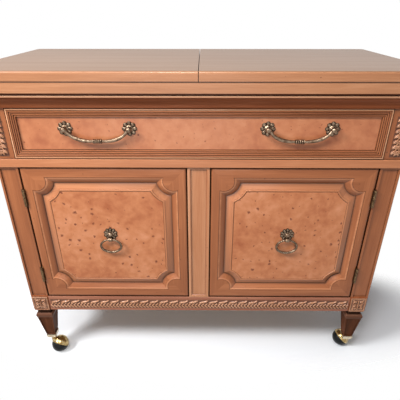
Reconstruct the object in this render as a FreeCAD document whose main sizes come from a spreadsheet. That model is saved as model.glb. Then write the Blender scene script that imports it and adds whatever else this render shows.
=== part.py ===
import FreeCAD, Part
import math
import os
import Sketcher

# A flip-top bar cabinet on ball casters.
# Frame: +Z up from the floor, -Y is the front, X runs along the cabinet.
# The origin is on the floor, under the middle of the closed top.

doc = FreeCAD.newDocument("barCabinet")
vector = FreeCAD.Vector

# ---------------------------------------------------------------- driving sizes

driving = [
    ("topLength", 969, "closed top, end to end"),
    ("topDepth", 442, "closed top, front to back"),
    ("height", 807.5, "floor to the upper face of the closed top"),
    ("leafThick", 21, "each folding leaf"),
    ("leafGap", 0.8, "air between a closed leaf and the fixed top"),
    ("fixedThick", 21.2, "fixed top"),
    ("topCorner", 15, "plan radius of the top's corners"),
    ("topEdge", 5, "rounding of the leaf's upper edge"),
    ("seam", 1.5, "air between the two closed leaves"),
    ("overFront", 28, "top beyond the carcass at the front"),
    ("overSide", 26.5, "top beyond the carcass at each side"),
    ("overBack", 12, "top beyond the carcass at the back"),
    ("postSide", 47, "square corner post"),
    ("panelThick", 18, "side panel"),
    ("panelInset", 3, "side panel behind the post's outer face"),
    ("tongue", 8, "width of the panel's tongue"),
    ("tongueDeep", 8, "groove depth in a post"),
    ("fitGap", 0.3, "air in a wooden groove or dado"),
    ("backThick", 6, "back panel"),
    ("backInset", 8, "back panel inside the rear face"),
    ("railThick", 20, "front rails, stile, doors and drawer front"),
    ("friezeHigh", 35.4, "frieze rail"),
    ("drawerHigh", 111, "drawer front"),
    ("drawerGap", 1.3, "air round the drawer front"),
    ("railHigh", 19.8, "middle rail"),
    ("railLip", 4, "middle rail's band in front of the posts"),
    ("apronHigh", 48, "apron rail"),
    ("apronRise", 2.8, "apron's lower edge above the post's foot"),
    ("doorGap", 2, "air round each door"),
    ("stileWide", 52, "centre stile"),
    ("legHigh", 115.5, "caster socket's lower face to the post's foot"),
    ("casterHigh", 50.5, "floor to the socket's lower face"),
    ("floorThick", 18, "cabinet floor"),
    ("dustThick", 12, "dust board under the drawer"),
    ("dustDrop", 6, "dust board's face below the middle rail's"),
    ("partitionThick", 18, "partition between the cupboards"),
    ("shelfThick", 16, "shelf"),
    ("shelfHigh", 424, "upper face of the shelves"),
    ("shelfFront", 8, "shelf's edge behind the front posts"),
    ("dado", 4, "depth of the shelf's dado"),
    ("surfaceThick", 0.8, "serving surface, let into the fixed top"),
    ("surfaceMargin", 34, "wooden border round the serving surface"),
    ("corniceOut", 23.5, "cornice beyond the carcass"),
    ("corniceHigh", 35, "cornice"),
    ("corniceStrip", 4.5, "upper fillet of the cornice"),
    ("corniceBead", 6, "bead of the cornice"),
    ("corniceFoot", 5, "cornice's lower fillet"),
    ("corniceFootHigh", 2, "cornice's lower fillet"),
    ("corniceQuirk", 3, "step between the cornice's bead and its cove"),
    ("legCap", 46, "leg's cap"),
    ("legCapHigh", 19, "cap with its moulded edge"),
    ("legNeck", 33, "leg's neck"),
    ("legNeckHigh", 14.2, "neck"),
    ("legTop", 44, "tapered shaft under the cap"),
    ("legFoot", 22, "tapered shaft at its foot"),
    ("ferruleWall", 1.2, "brass ferrule"),
    ("ferruleFloor", 2, "ferrule's floor"),
    ("ferruleHigh", 11, "ferrule"),
    ("socketRadius", 5.5, "outside of the socket's tube"),
    ("socketDeep", 36, "socket's tube above the ferrule's floor"),
    ("stemRadius", 4, "caster's stem"),
    ("stemFit", 0.05, "radial running fit of the stem"),
    ("stemLong", 34, "caster's stem above the ferrule's lower face"),
    ("collarRadius", 8, "collar under the ferrule"),
    ("collarHigh", 3, "collar"),
    ("collarAir", 0.3, "air between the collar and the ferrule"),
    ("ballRadius", 23.5, "caster's ball"),
    ("hoodOver", 0.6, "hood outside the ball's radius"),
    ("hoodWall", 2.2, "hood"),
    ("hoodAir", 0.8, "air between the wheel's face and the hood's rim"),
    ("trail", 22, "ball's centre behind the stem"),
    ("axleRadius", 3, "caster's axle"),
    ("axleFit", 0.05, "radial running fit of the wheel"),
    ("axleDeep", 15, "axle's length inside the wheel"),
    ("hubRadius", 7, "wheel's hub"),
    ("hubLong", 9, "hub inside the hood"),
    ("neckRadius", 6.5, "neck between the collar and the hood"),
    ("neckDeep", 8, "neck's foot above the ball's centre"),
    ("carveDeep", 3, "sunk panels and carved grounds"),
    ("sunkWide", 37, "sunk panel of a post"),
    ("sunkEnd", 5, "plain wood at the ends of a sunk panel"),
    ("stileSunk", 40, "sunk panel of the centre stile"),
    ("flankWide", 30, "carved strip beside the drawer"),
    ("flankHigh", 92, "carved strip beside the drawer"),
    ("flankDrop", 17, "carved strip under the cornice"),
    ("budDeep", 2.4, "one bud of the carved strip"),
    ("groundSink", 1, "carved strip's ground behind the post's face"),
    ("blockSide", 42, "carved block's width"),
    ("blockHigh", 46, "carved block's height"),
    ("blockOut", 5, "carved block in front of the post"),
    ("knobSink", 2, "centre of a carved knob inside the block's face"),
    ("blockRise", 3, "carved block above the post's foot"),
    ("bandHigh", 29, "carved band of the apron"),
    ("bandOut", 4, "carved band in front of the apron"),
    ("bandRise", 9, "carved band above the apron's lower edge"),
    ("bandInset", 4, "carved band inside the posts"),
    ("ropeRadius", 3.2, "bead and rope of the carved band"),
    ("drawerOut", 2, "drawer front before the carcass"),
    ("drawerFrame", 19, "reeded frame of the drawer front"),
    ("drawerSunk", 8, "burl panel behind the frame"),
    ("burlThick", 4, "burl panel of the drawer"),
    ("drawerAir", 35, "air between the drawer box and the back panel"),
    ("drawerWall", 12, "drawer sides and back"),
    ("drawerWallHigh", 96, "drawer sides"),
    ("drawerSlack", 3, "drawer box inside the posts, each side"),
    ("drawerLift", 4, "drawer sides above the middle rail's upper face"),
    ("drawerFloor", 5, "drawer's bottom board"),
    ("floorGroove", 5, "drawer's bottom board inside its sides"),
    ("floorRise", 8, "drawer's bottom board above the sides' lower edge"),
    ("runAir", 0.3, "air between the drawer and its runners"),
    ("runnerWide", 15, "ledge of the runner under the drawer side"),
    ("guideHigh", 18, "runner's guide beside the drawer side"),
    ("doorStile", 30, "door frame, upright"),
    ("doorRail", 33.5, "door frame, level"),
    ("cornerRadius", 34, "frame's rounded inner corners"),
    ("panelBack", 8, "door panel's plate"),
    ("panelSink", 8, "panel's border behind the door's face"),
    ("fieldInset", 27.5, "raised field inside the frame's opening"),
    ("fieldSink", 1.5, "raised field behind the door's face"),
    ("hingeHigh", 44, "butt hinge"),
    ("hingeDrop", 54, "upper hinge below the door's top"),
    ("hingeRise", 52, "lower hinge above the door's foot"),
    ("barrelRadius", 3.2, "butt hinge's barrel"),
    ("barrelOut", 2.6, "barrel's axis before the door's face"),
    ("plateThick", 1.2, "butt hinge's plate"),
    ("plateWide", 16, "butt hinge's plate behind the door's face"),
    ("pinRadius", 1.4, "hinge pins"),
    ("pinFit", 0.05, "radial running fit of a pin"),
    ("knuckleAir", 0.3, "air between neighbouring knuckles"),
    ("relief", 0.4, "air round a barrel"),
    ("flipHingeLong", 63, "flip hinge"),
    ("flipHingeAt", 140, "flip hinge from the middle of the depth"),
    ("flipRadius", 3.4, "flip hinge's barrel"),
    ("flipOut", 0.5, "flip hinge's axis beyond the top's end"),
    ("flipPlate", 1.6, "flip hinge's plate"),
    ("flipPlateWide", 26, "flip hinge's plate along the top"),
    ("catchLong", 40, "door catch"),
    ("catchHigh", 12, "door catch"),
    ("catchDeep", 14, "door catch"),
    ("bailSpan", 140, "between the drawer pull's bosses"),
    ("bailAt", 220, "drawer pull from the middle"),
    ("bailDrop", 44.5, "drawer pull's axis below the drawer's top"),
    ("bailHang", 25.5, "bail's depth below its axis"),
    ("bailRadius", 2.7, "bail's rod"),
    ("bailNeck", 3.8, "bail's level end between the ball boss and its first bend"),
    ("kneeIn", 9.5, "bail's knee inward of its neck"),
    ("kneeDrop", 18.5, "bail's knee below its axis"),
    ("flatIn", 29.5, "start of the bail's level run, inward of its neck"),
    ("neckBend", 5, "bail's bend at its neck"),
    ("kneeBend", 14, "bail's bend at its knee"),
    ("flatBend", 40, "bail's bend into its level run"),
    ("bailGrip", 4.4, "bail's thick middle"),
    ("gripLong", 18, "collar at the bail's middle"),
    ("gripTaper", 12.5, "swell beside the bail's collar"),
    ("gripStep", 0.05, "swell's thin end outside the rod"),
    ("bailReach", 11, "bail's axis before the burl panel"),
    ("rosetteRadius", 16.5, "petalled rosette"),
    ("rosetteThick", 3.5, "petalled rosette"),
    ("ballBoss", 6.5, "ball boss that holds a bail's end"),
    ("ringWide", 56, "oval ring"),
    ("ringHigh", 41, "oval ring"),
    ("ringRadius", 2.2, "oval ring's rod"),
    ("ringReach", 9, "ring's axis before the door's field"),
    ("ringDrop", 12, "ring's axis below the boss's centre"),
    ("ringFit", 0.35, "air round the ring in its lug"),
    ("bossRise", 11, "ring boss's centre above the door's middle"),
    ("lugLong", 9, "boss's lug"),
    ("lugRadius", 5, "boss's lug"),
]

sheet = doc.addObject("Spreadsheet::Sheet", "sizes")
for row, (alias, amount, note) in enumerate(driving, start=1):
    sheet.set("A%d" % row, alias)
    sheet.set("B%d" % row, str(amount))
    sheet.setAlias("B%d" % row, alias)
    sheet.set("C%d" % row, note)
doc.recompute()


# ---------------------------------------------------------------- sizes and bindings

class Size:
    """A size worked out from the sheet: its amount, and the expression that binds it."""

    def __init__(self, amount, text):
        self.amount = amount
        self.text = text

    def __float__(self):
        return self.amount

    def __add__(self, other):
        other = asSize(other)
        return Size(self.amount + other.amount, "(%s + %s)" % (self.text, other.text))

    def __sub__(self, other):
        other = asSize(other)
        return Size(self.amount - other.amount, "(%s - %s)" % (self.text, other.text))

    def __rsub__(self, other):
        return asSize(other) - self

    def __mul__(self, other):
        other = asSize(other)
        return Size(self.amount * other.amount, "(%s * %s)" % (self.text, other.text))

    def __truediv__(self, other):
        other = asSize(other)
        return Size(self.amount / other.amount, "(%s / %s)" % (self.text, other.text))

    def __neg__(self):
        return Size(-self.amount, "(0 - %s)" % self.text)

    __radd__ = __add__
    __rmul__ = __mul__


def asSize(value):
    if isinstance(value, Size):
        return value
    return Size(float(value), "(%.6f)" % value)


class Sheet:
    """Reads a driving size by its alias."""

    def __getattr__(self, alias):
        return Size(float(sheet.get(alias)), "sizes." + alias)


s = Sheet()


def bind(thing, prop, value):
    thing.setExpression(prop, asSize(value).text)


def place(thing, x=0, y=0, z=0, rotation=None):
    """Puts an object at a bound position, turned by a fixed rotation."""
    thing.Placement = FreeCAD.Placement(vector(float(x), float(y), float(z)),
                                        rotation or FreeCAD.Rotation())
    for axis, value in (("x", x), ("y", y), ("z", z)):
        bind(thing, "Placement.Base." + axis, value)


nodes = {}


def node(name, thing):
    """Names an object as one of the cabinet's pieces."""
    thing.Label = name
    nodes[name] = thing
    return thing


def mirrored(side, low, high):
    """A span along X on the right, or its mirror image on the left."""
    if side > 0:
        return low, high
    return -asSize(high), -asSize(low)


sides = (("left", -1), ("right", 1))


# ---------------------------------------------------------------- Part helpers

def box(name, x, y, z):
    """A box between pairs of bound coordinates."""
    thing = doc.addObject("Part::Box", name)
    for prop, (low, high) in (("Length", x), ("Width", y), ("Height", z)):
        bind(thing, prop, asSize(high) - low)
    place(thing, x[0], y[0], z[0])
    return thing


turns = {"x": FreeCAD.Rotation(vector(0, 1, 0), 90),
         "y": FreeCAD.Rotation(vector(1, 0, 0), -90),
         "z": FreeCAD.Rotation()}


def rod(name, radius, length, x, y, z, axis):
    """A cylinder that runs from (x, y, z) along +X, +Y or +Z."""
    thing = doc.addObject("Part::Cylinder", name)
    bind(thing, "Radius", radius)
    bind(thing, "Height", length)
    place(thing, x, y, z, turns[axis])
    return thing


def ball(name, radius, x, y, z):
    thing = doc.addObject("Part::Sphere", name)
    bind(thing, "Radius", radius)
    place(thing, x, y, z)
    return thing


def joined(name, things):
    if len(things) == 1:
        return things[0]
    thing = doc.addObject("Part::MultiFuse", name)
    thing.Shapes = things
    return thing


def cut(name, base, tools):
    """The base without the tools."""
    thing = doc.addObject("Part::Cut", name)
    thing.Base = base
    thing.Tool = joined(name + "Tools", tools)
    return thing


def flatBacked(name, thing, y):
    """The part of a thing that stands before the plane y."""
    behind = box(name + "Behind", (-half, half), (y, y + s.postSide), (0, s.height))
    return cut(name, thing, [behind])


def group(name, things):
    """Equal pieces kept as separate solids of one node."""
    thing = doc.addObject("Part::Compound", name)
    thing.Links = things
    return thing


# ---------------------------------------------------------------- PartDesign helpers

def newBody(name):
    return doc.addObject("PartDesign::Body", name)


def sketchOn(body, name, role, offset=0):
    """A sketch on one of the body's own planes, moved along its normal."""
    sketch = body.newObject("Sketcher::SketchObject", name)
    plane = [item for item in body.Origin.OriginFeatures if item.Role == role][0]
    sketch.AttachmentSupport = [(plane, "")]
    sketch.MapMode = "FlatFace"
    bind(sketch, "AttachmentOffset.Base.z", offset)
    return sketch


def pinPoint(sketch, edge, end, x, y):
    """Holds one end of an edge at bound coordinates."""
    for kind, value in (("DistanceX", x), ("DistanceY", y)):
        number = sketch.addConstraint(Sketcher.Constraint(kind, -1, 1, edge, end, float(value)))
        bind(sketch, "Constraints[%d]" % number, value)


def arcBetween(start, end, radius):
    """The short arc from start to end; a positive radius has its centre on the left."""
    chord = end - start
    reach = math.sqrt(max(radius ** 2 - (chord.Length / 2) ** 2, 0))
    left = vector(-chord.y, chord.x, 0).normalize()
    centre = (start + end) / 2 + left * math.copysign(reach, radius)
    ends = (start, end) if radius > 0 else (end, start)
    angles = [math.atan2(point.y - centre.y, point.x - centre.x) for point in ends]
    if angles[1] < angles[0]:
        angles[1] += 2 * math.pi
    whole = Part.Circle(centre, vector(0, 0, 1), abs(radius))
    return Part.ArcOfCircle(whole, angles[0], angles[1])


def outline(sketch, corners):
    """A closed outline. A corner is (x, y), or (x, y, radius) where an arc leaves it."""
    count = len(corners)
    first = sketch.GeometryCount
    ends = []
    for number, corner in enumerate(corners):
        following = corners[(number + 1) % count]
        start = vector(float(corner[0]), float(corner[1]), 0)
        end = vector(float(following[0]), float(following[1]), 0)
        if len(corner) == 3:
            radius = float(corner[2])
            sketch.addGeometry(arcBetween(start, end, radius), False)
            ends.append((1, 2) if radius > 0 else (2, 1))
        else:
            sketch.addGeometry(Part.LineSegment(start, end), False)
            ends.append((1, 2))
    for number in range(count):
        following = (number + 1) % count
        sketch.addConstraint(Sketcher.Constraint(
            "Coincident", first + number, ends[number][1], first + following, ends[following][0]))
    for number, corner in enumerate(corners):
        pinPoint(sketch, first + number, ends[number][0], corner[0], corner[1])
        if len(corner) == 3:
            size = asSize(corner[2])
            if float(size) < 0:
                size = -size
            held = sketch.addConstraint(Sketcher.Constraint("Radius", first + number, float(size)))
            bind(sketch, "Constraints[%d]" % held, size)


def rectangle(sketch, x, y):
    outline(sketch, [(x[0], y[0]), (x[1], y[0]), (x[1], y[1]), (x[0], y[1])])


def circle(sketch, x, y, radius):
    centre = vector(float(x), float(y), 0)
    edge = sketch.addGeometry(Part.Circle(centre, vector(0, 0, 1), float(radius)), False)
    pinPoint(sketch, edge, 3, x, y)
    number = sketch.addConstraint(Sketcher.Constraint("Radius", edge, float(radius)))
    bind(sketch, "Constraints[%d]" % number, radius)


def pad(body, sketch, length, reverse=False):
    feature = body.newObject("PartDesign::Pad", sketch.Name + "Pad")
    feature.Profile = sketch
    bind(feature, "Length", length)
    feature.Reversed = reverse
    return feature


def pocket(body, sketch, length, reverse=False):
    feature = body.newObject("PartDesign::Pocket", sketch.Name + "Pocket")
    feature.Profile = sketch
    bind(feature, "Length", length)
    feature.Reversed = reverse
    return feature


def revolve(body, sketch, axis="V_Axis"):
    feature = body.newObject("PartDesign::Revolution", sketch.Name + "Turned")
    feature.Profile = sketch
    feature.ReferenceAxis = (sketch, [axis])
    feature.Angle = 360
    return feature


def soften(body, kind, amount, wanted):
    """Rounds or bevels the body's edges whose middle satisfies the test."""
    doc.recompute()
    names = []
    for number, edge in enumerate(body.Tip.Shape.Edges, start=1):
        middle = edge.valueAt((edge.FirstParameter + edge.LastParameter) / 2)
        if wanted(edge, middle):
            names.append("Edge%d" % number)
    base = body.Tip
    feature = body.newObject("PartDesign::" + kind, body.Name + kind)
    feature.Base = (base, names)
    bind(feature, "Radius" if kind == "Fillet" else "Size", amount)
    return feature


def near(value, target):
    return abs(value - float(target)) < 0.05


def upright(edge):
    return near(edge.BoundBox.XLength, 0) and near(edge.BoundBox.YLength, 0)


# ---------------------------------------------------------------- shared levels

half = s.topLength / 2
carcassX = half - s.overSide
innerX = carcassX - s.postSide
frontY = s.overFront - s.topDepth / 2
backY = s.topDepth / 2 - s.overBack
railY = frontY + s.railThick
postFrontY = frontY + s.postSide
postRearY = backY - s.postSide
backPanelY = backY - s.backInset

postFoot = s.casterHigh + s.legHigh
apronLow = postFoot + s.apronRise
apronTop = apronLow + s.apronHigh
fixedTop = s.height - s.leafThick - s.leafGap
fixedLow = fixedTop - s.fixedThick
friezeLow = fixedLow - s.friezeHigh
drawerTop = friezeLow - s.drawerGap
drawerLow = drawerTop - s.drawerHigh
railTop = drawerLow - s.drawerGap
railLow = railTop - s.railHigh
doorTop = railLow - s.doorGap
doorLow = apronTop + s.doorGap
doorOuter = innerX - s.doorGap
doorInner = s.stileWide / 2 + s.doorGap
doorMiddle = (doorOuter + doorInner) / 2
doorCentreZ = (doorTop + doorLow) / 2
dustTop = railTop - s.dustDrop
dustLow = dustTop - s.dustThick
panelOuter = carcassX - s.panelInset
panelInner = panelOuter - s.panelThick
tongueLow = panelInner + (s.panelThick - s.tongue) / 2
drawerY = frontY - s.drawerOut
drawerBackY = drawerY + s.railThick
burlY = drawerY + s.drawerSunk
drawerX = innerX - s.drawerGap
fieldY = frontY + s.fieldSink
legX = carcassX - s.postSide / 2
legFrontY = frontY + s.postSide / 2
legRearY = backY - s.postSide / 2
corners = {"front_left": (-1, legFrontY), "front_right": (1, legFrontY),
           "rear_left": (-1, legRearY), "rear_right": (1, legRearY)}


# ---------------------------------------------------------------- carcass

def cornerPost(where, side):
    """A square post with its panel groove; a front post has its sunk and carved grounds too."""
    name = "corner_post_" + where
    front = where.startswith("front")
    inner, outer = mirrored(side, innerX, carcassX)
    ys = (frontY, postFrontY) if front else (postRearY, backY)
    base = box(name + "Square", (inner, outer), ys, (postFoot, fixedLow))
    groove = mirrored(side, tongueLow - s.fitGap, tongueLow + s.tongue + s.fitGap)
    if front:
        grooveY = (postFrontY - s.tongueDeep - s.fitGap, postFrontY)
    else:
        grooveY = (postRearY, postRearY + s.tongueDeep + s.fitGap)
    tools = [box(name + "PanelGroove", groove, grooveY, (apronLow - s.fitGap, fixedLow))]
    if front:
        middle = side * legX
        sunk = (middle - s.sunkWide / 2, middle + s.sunkWide / 2)
        low = postFoot + s.blockRise + s.blockHigh + s.sunkEnd
        tools.append(box(name + "Sunk", sunk, (frontY, frontY + s.carveDeep),
                         (low, railLow - s.sunkEnd)))
        carved = (middle - s.flankWide / 2, middle + s.flankWide / 2)
        top = friezeLow + s.friezeHigh - s.corniceHigh - s.flankDrop
        tools.append(box(name + "Carved", carved, (frontY, frontY + s.carveDeep),
                         (top - s.flankHigh, top)))
        tools += hingeReliefs(name, side, True)
    else:
        back = mirrored(side, innerX, innerX + s.tongueDeep)
        tools.append(box(name + "BackGroove", back,
                         (backPanelY - s.backThick - s.fitGap, backPanelY + s.fitGap),
                         (apronLow - s.fitGap, fixedLow)))
    node(name, cut(name, base, tools))


def sidePanel(word, side):
    """A panel with a tongue at each end, and a dado for the shelf."""
    name = "side_panel_" + word
    low, high = mirrored(side, panelInner, panelOuter)
    panel = box(name + "Board", (low, high), (postFrontY, postRearY), (apronLow, fixedLow))
    tongue = mirrored(side, tongueLow, tongueLow + s.tongue)
    ends = box(name + "Tongue", tongue, (postFrontY - s.tongueDeep, postRearY + s.tongueDeep),
               (apronLow, fixedLow))
    dadoX = mirrored(side, panelInner, panelInner + s.dado)
    dado = box(name + "Dado", dadoX, shelfY(s.fitGap), shelfZ(s.fitGap))
    node(name, cut(name, joined(name + "Whole", [panel, ends]), [dado]))


def shelfY(air):
    return postFrontY + s.shelfFront - air, postRearY - s.shelfFront + air


def shelfZ(air):
    return s.shelfHigh - s.shelfThick - air, s.shelfHigh + air


def boards():
    """Floor, dust board, partition, shelves and back."""
    inside = (-panelInner, panelInner)
    floorZ = (apronTop - s.floorThick, apronTop)
    for name, zs in (("cabinet_floor", floorZ), ("dust_board", (dustLow, dustTop))):
        board = box(name + "Board", inside, (railY, backPanelY - s.backThick), zs)
        notches = []
        for word, side in sides:
            notchX = mirrored(side, innerX - s.fitGap, carcassX)
            notches.append(box(name + word + "FrontNotch", notchX, (railY, postFrontY + s.fitGap), zs))
            notches.append(box(name + word + "RearNotch", notchX, (postRearY - s.fitGap, backY), zs))
        node(name, cut(name, board, notches))
    wall = s.partitionThick / 2
    partition = box("partitionBoard", (-wall, wall), (railY, backPanelY - s.backThick), (apronTop, dustLow))
    dados = []
    for word, side in sides:
        dados.append(box("partition" + word + "Dado", mirrored(side, wall - s.dado, wall),
                         shelfY(s.fitGap), shelfZ(s.fitGap)))
    node("partition", cut("partition", partition, dados))
    shelves = []
    for word, side in sides:
        ends = mirrored(side, wall - s.dado + s.fitGap, panelInner + s.dado - s.fitGap)
        shelves.append(box("shelf" + word, ends, shelfY(0), shelfZ(0)))
    node("shelves", group("shelves", shelves))
    reach = innerX + s.tongueDeep - s.fitGap
    node("back_panel", box("back_panel", (-reach, reach), (backPanelY - s.backThick, backPanelY),
                           (apronLow, fixedLow)))


def rails():
    """Frieze, middle and apron rails and the centre stile."""
    span = (-innerX, innerX)
    node("frieze_rail", box("frieze_rail", span, (frontY, railY), (friezeLow, fixedLow)))
    middle = box("middleRailWood", span, (frontY, railY), (railLow, railTop))
    lip = box("middleRailLip", (-carcassX, carcassX), (frontY - s.railLip, frontY), (railLow, railTop))
    node("middle_rail", joined("middle_rail", [middle, lip]))
    node("apron_rail", box("apron_rail", span, (frontY, railY), (apronLow, apronTop)))
    body = newBody("centre_stile")
    sketch = sketchOn(body, "stileFace", "XZ_Plane", -frontY)
    rectangle(sketch, (-s.stileWide / 2, s.stileWide / 2), (apronTop, railLow))
    pad(body, sketch, s.railThick, True)
    sunk = sketchOn(body, "stileSunk", "XZ_Plane", -frontY)
    rectangle(sunk, (-s.stileSunk / 2, s.stileSunk / 2), (apronTop + s.sunkEnd, railLow - s.sunkEnd))
    pocket(body, sunk, s.carveDeep)
    node("centre_stile", body)


def cornice():
    """The moulding under the top, mitred at the two front corners."""
    out = s.corniceOut + 1
    frontPiece = newBody("corniceFront")
    profileFront = sketchOn(frontPiece, "corniceFrontProfile", "YZ_Plane", -(carcassX + out))
    outline(profileFront, corniceProfile(lambda value: frontY - value))
    pad(frontPiece, profileFront, (carcassX + out) * 2)
    pieces = [frontPiece]
    for word, side in sides:
        wedge = sketchOn(frontPiece, "corniceFrontMitre" + word, "XY_Plane", fixedLow - s.corniceHigh - 1)
        corner = [(side * carcassX, frontY), (side * (carcassX + out + 1), frontY - out - 1),
                  (side * (carcassX + out + 1), frontY)]
        outline(wedge, corner)
        pocket(frontPiece, wedge, s.corniceHigh + 2, True)
    for word, side in sides:
        piece = newBody("cornice" + word)
        profile = sketchOn(piece, "cornice" + word + "Profile", "XZ_Plane", -(frontY - out))
        outline(profile, corniceProfile(lambda value, side=side: side * (carcassX + value)))
        pad(piece, profile, backY - frontY + out, True)
        wedge = sketchOn(piece, "cornice" + word + "Mitre", "XY_Plane", fixedLow - s.corniceHigh - 1)
        corner = [(side * carcassX, frontY), (side * (carcassX + out + 1), frontY - out - 1),
                  (side * carcassX, frontY - out - 1)]
        outline(wedge, corner)
        pocket(piece, wedge, s.corniceHigh + 2, True)
        pieces.append(piece)
    node("cornice_moulding", group("cornice_moulding", pieces))


def corniceProfile(across):
    """Corners of the cornice's section; across turns a projection into a coordinate."""
    top = fixedLow
    low = top - s.corniceHigh
    bead = top - s.corniceStrip - s.corniceBead
    shelf = s.corniceOut - s.corniceBead / 2
    cove = shelf - s.corniceQuirk
    return [(across(asSize(0)), low), (across(s.corniceFoot), low),
            (across(s.corniceFoot), low + s.corniceFootHigh), (across(cove), bead - s.corniceQuirk),
            (across(shelf), bead), (across(s.corniceOut), bead + s.corniceBead / 2),
            (across(shelf), bead + s.corniceBead), (across(shelf), top), (across(asSize(0)), top)]


budRows = 6
budShare = 0.42
knobCount = 5
knobRing = 0.24


def carvings():
    """Carved strips beside the drawer, blocks over the legs, and the apron's band."""
    pieces = []
    top = fixedLow - s.corniceHigh - s.flankDrop
    for word, side in sides:
        middle = side * legX
        ground = s.flankWide / 2 - s.fitGap
        strip = box("flankGround" + word, (middle - ground, middle + ground),
                    (frontY + s.groundSink, frontY + s.carveDeep),
                    (top - s.flankHigh + s.fitGap, top - s.fitGap))
        buds = [strip]
        step = (s.flankHigh - 2 * s.fitGap) / budRows
        for number in range(budRows):
            level = top - s.fitGap - step * (number + 0.5)
            for hand in (-1, 1):
                bud = doc.addObject("Part::Ellipsoid", "flankBud%s%d%s" % (word, number, "lr"[hand > 0]))
                bind(bud, "Radius1", s.budDeep)
                bind(bud, "Radius2", step * budShare)
                bind(bud, "Radius3", s.flankWide / 5)
                place(bud, middle + hand * s.flankWide / 4.4, frontY + s.budDeep / 2, level,
                      FreeCAD.Rotation(vector(1, 0, 0), 90))
                buds.append(bud)
        pieces.append(flatBacked("flankCarving" + word, joined("flankBuds" + word, buds),
                                 frontY + s.carveDeep))
        blockLow = postFoot + s.blockRise
        block = box("blockGround" + word, (middle - s.blockSide / 2, middle + s.blockSide / 2),
                    (frontY - s.blockOut / 2, frontY), (blockLow, blockLow + s.blockHigh))
        knobs = [block]
        knobY = frontY - s.blockOut / 2 + s.knobSink
        for number in range(knobCount):
            angle = 2 * math.pi * number / knobCount + math.pi / 2
            knobs.append(ball("blockKnob%s%d" % (word, number), s.blockOut * 0.9,
                              middle + s.blockSide * (knobRing * math.cos(angle)), knobY,
                              blockLow + s.blockHigh * (0.5 + knobRing * math.sin(angle))))
        knobs.append(ball("blockKnobMiddle" + word, s.blockOut, middle, knobY, blockLow + s.blockHigh / 2))
        pieces.append(flatBacked("blockCarving" + word, joined("blockKnobs" + word, knobs), frontY))
    node("post_carvings", group("post_carvings", pieces))
    low = apronLow + s.bandRise
    reach = innerX - s.bandInset
    band = [box("bandGround", (-reach, reach), (frontY - s.bandOut / 2, frontY), (low, low + s.bandHigh))]
    ropeY = frontY - s.bandOut + s.ropeRadius
    for name, level in (("bandRope", low + s.bandHigh / 3), ("bandBead", low + s.bandHigh - s.bandOut)):
        band.append(rod(name, s.ropeRadius, reach * 2, -reach, ropeY, level, "x"))
    node("apron_carving", flatBacked("apron_carving", joined("bandWhole", band), frontY))


# ---------------------------------------------------------------- legs and casters

def shaftSide(rise):
    """Side of the tapered shaft at a height above its foot."""
    return s.legFoot + (s.legTop - s.legFoot) * (rise / shaftHigh())


def shaftHigh():
    return s.legHigh - s.ferruleFloor - s.legCapHigh - s.legNeckHigh


def squareOn(body, name, side, level):
    sketch = sketchOn(body, name, "XY_Plane", level)
    rectangle(sketch, (-side / 2, side / 2), (-side / 2, side / 2))
    return sketch


def leg(where, side, middleY):
    """Tapered shaft, cap and neck, bored for the caster's socket. Its origin is at the ferrule's floor."""
    body = newBody("leg_" + where)
    foot = squareOn(body, "legFoot_" + where, s.legFoot, s.ferruleFloor)
    shaftTop = s.ferruleFloor + shaftHigh()
    head = squareOn(body, "legHead_" + where, s.legTop, shaftTop)
    loft = body.newObject("PartDesign::AdditiveLoft", "legShaft_" + where)
    loft.Profile = foot
    loft.Sections = [head]
    pad(body, squareOn(body, "legCap_" + where, s.legCap, shaftTop), s.legCapHigh)
    doc.recompute()
    capTop = shaftTop + s.legCapHigh
    soften(body, "Chamfer", s.legCapHigh / 5,
           lambda edge, middle: near(middle.z, capTop) and not upright(edge))
    pad(body, squareOn(body, "legNeck_" + where, s.legNeck, capTop), s.legNeckHigh)
    bore = sketchOn(body, "legBore_" + where, "XY_Plane", s.ferruleFloor)
    circle(bore, 0, 0, s.socketRadius + s.fitGap)
    pocket(body, bore, s.socketDeep + s.fitGap, True)
    place(body, side * legX, middleY, s.casterHigh)
    node("leg_" + where, body)


def casterSocket(where, side, middleY):
    """Brass ferrule round the leg's foot, with the tube that takes the caster's stem."""
    body = newBody("socket_" + where)
    wall = s.ferruleWall
    rim = s.ferruleHigh
    rise = s.ferruleHigh - s.ferruleFloor
    low = squareOn(body, "ferruleLow_" + where, s.legFoot + 2 * wall, 0)
    high = squareOn(body, "ferruleHigh_" + where, shaftSide(rise) + 2 * wall, rim)
    loft = body.newObject("PartDesign::AdditiveLoft", "ferruleOuter_" + where)
    loft.Profile = low
    loft.Sections = [high]
    inLow = squareOn(body, "ferruleInLow_" + where, s.legFoot, s.ferruleFloor)
    inHigh = squareOn(body, "ferruleInHigh_" + where, shaftSide(rise), rim)
    hollow = body.newObject("PartDesign::SubtractiveLoft", "ferruleInner_" + where)
    hollow.Profile = inLow
    hollow.Sections = [inHigh]
    tube = sketchOn(body, "socketTube_" + where, "XY_Plane", s.ferruleFloor)
    circle(tube, 0, 0, s.socketRadius)
    pad(body, tube, s.socketDeep)
    bore = sketchOn(body, "socketBore_" + where, "XY_Plane", 0)
    circle(bore, 0, 0, s.stemRadius + s.stemFit)
    pocket(body, bore, s.socketDeep, True)
    place(body, side * legX, middleY, s.casterHigh)
    return body


# Each caster's trail as parked, in degrees from +X. The casters are a left-handed and a right-handed pair:
# the axle leans down to the trail's right on the left legs and to its left on the right legs.
parked = {"front_left": -24, "front_right": 100, "rear_left": 18, "rear_right": -34}
lean = 45


def wheelTurn(side):
    return FreeCAD.Rotation(vector(1, 0, 0), side * lean)


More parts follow.
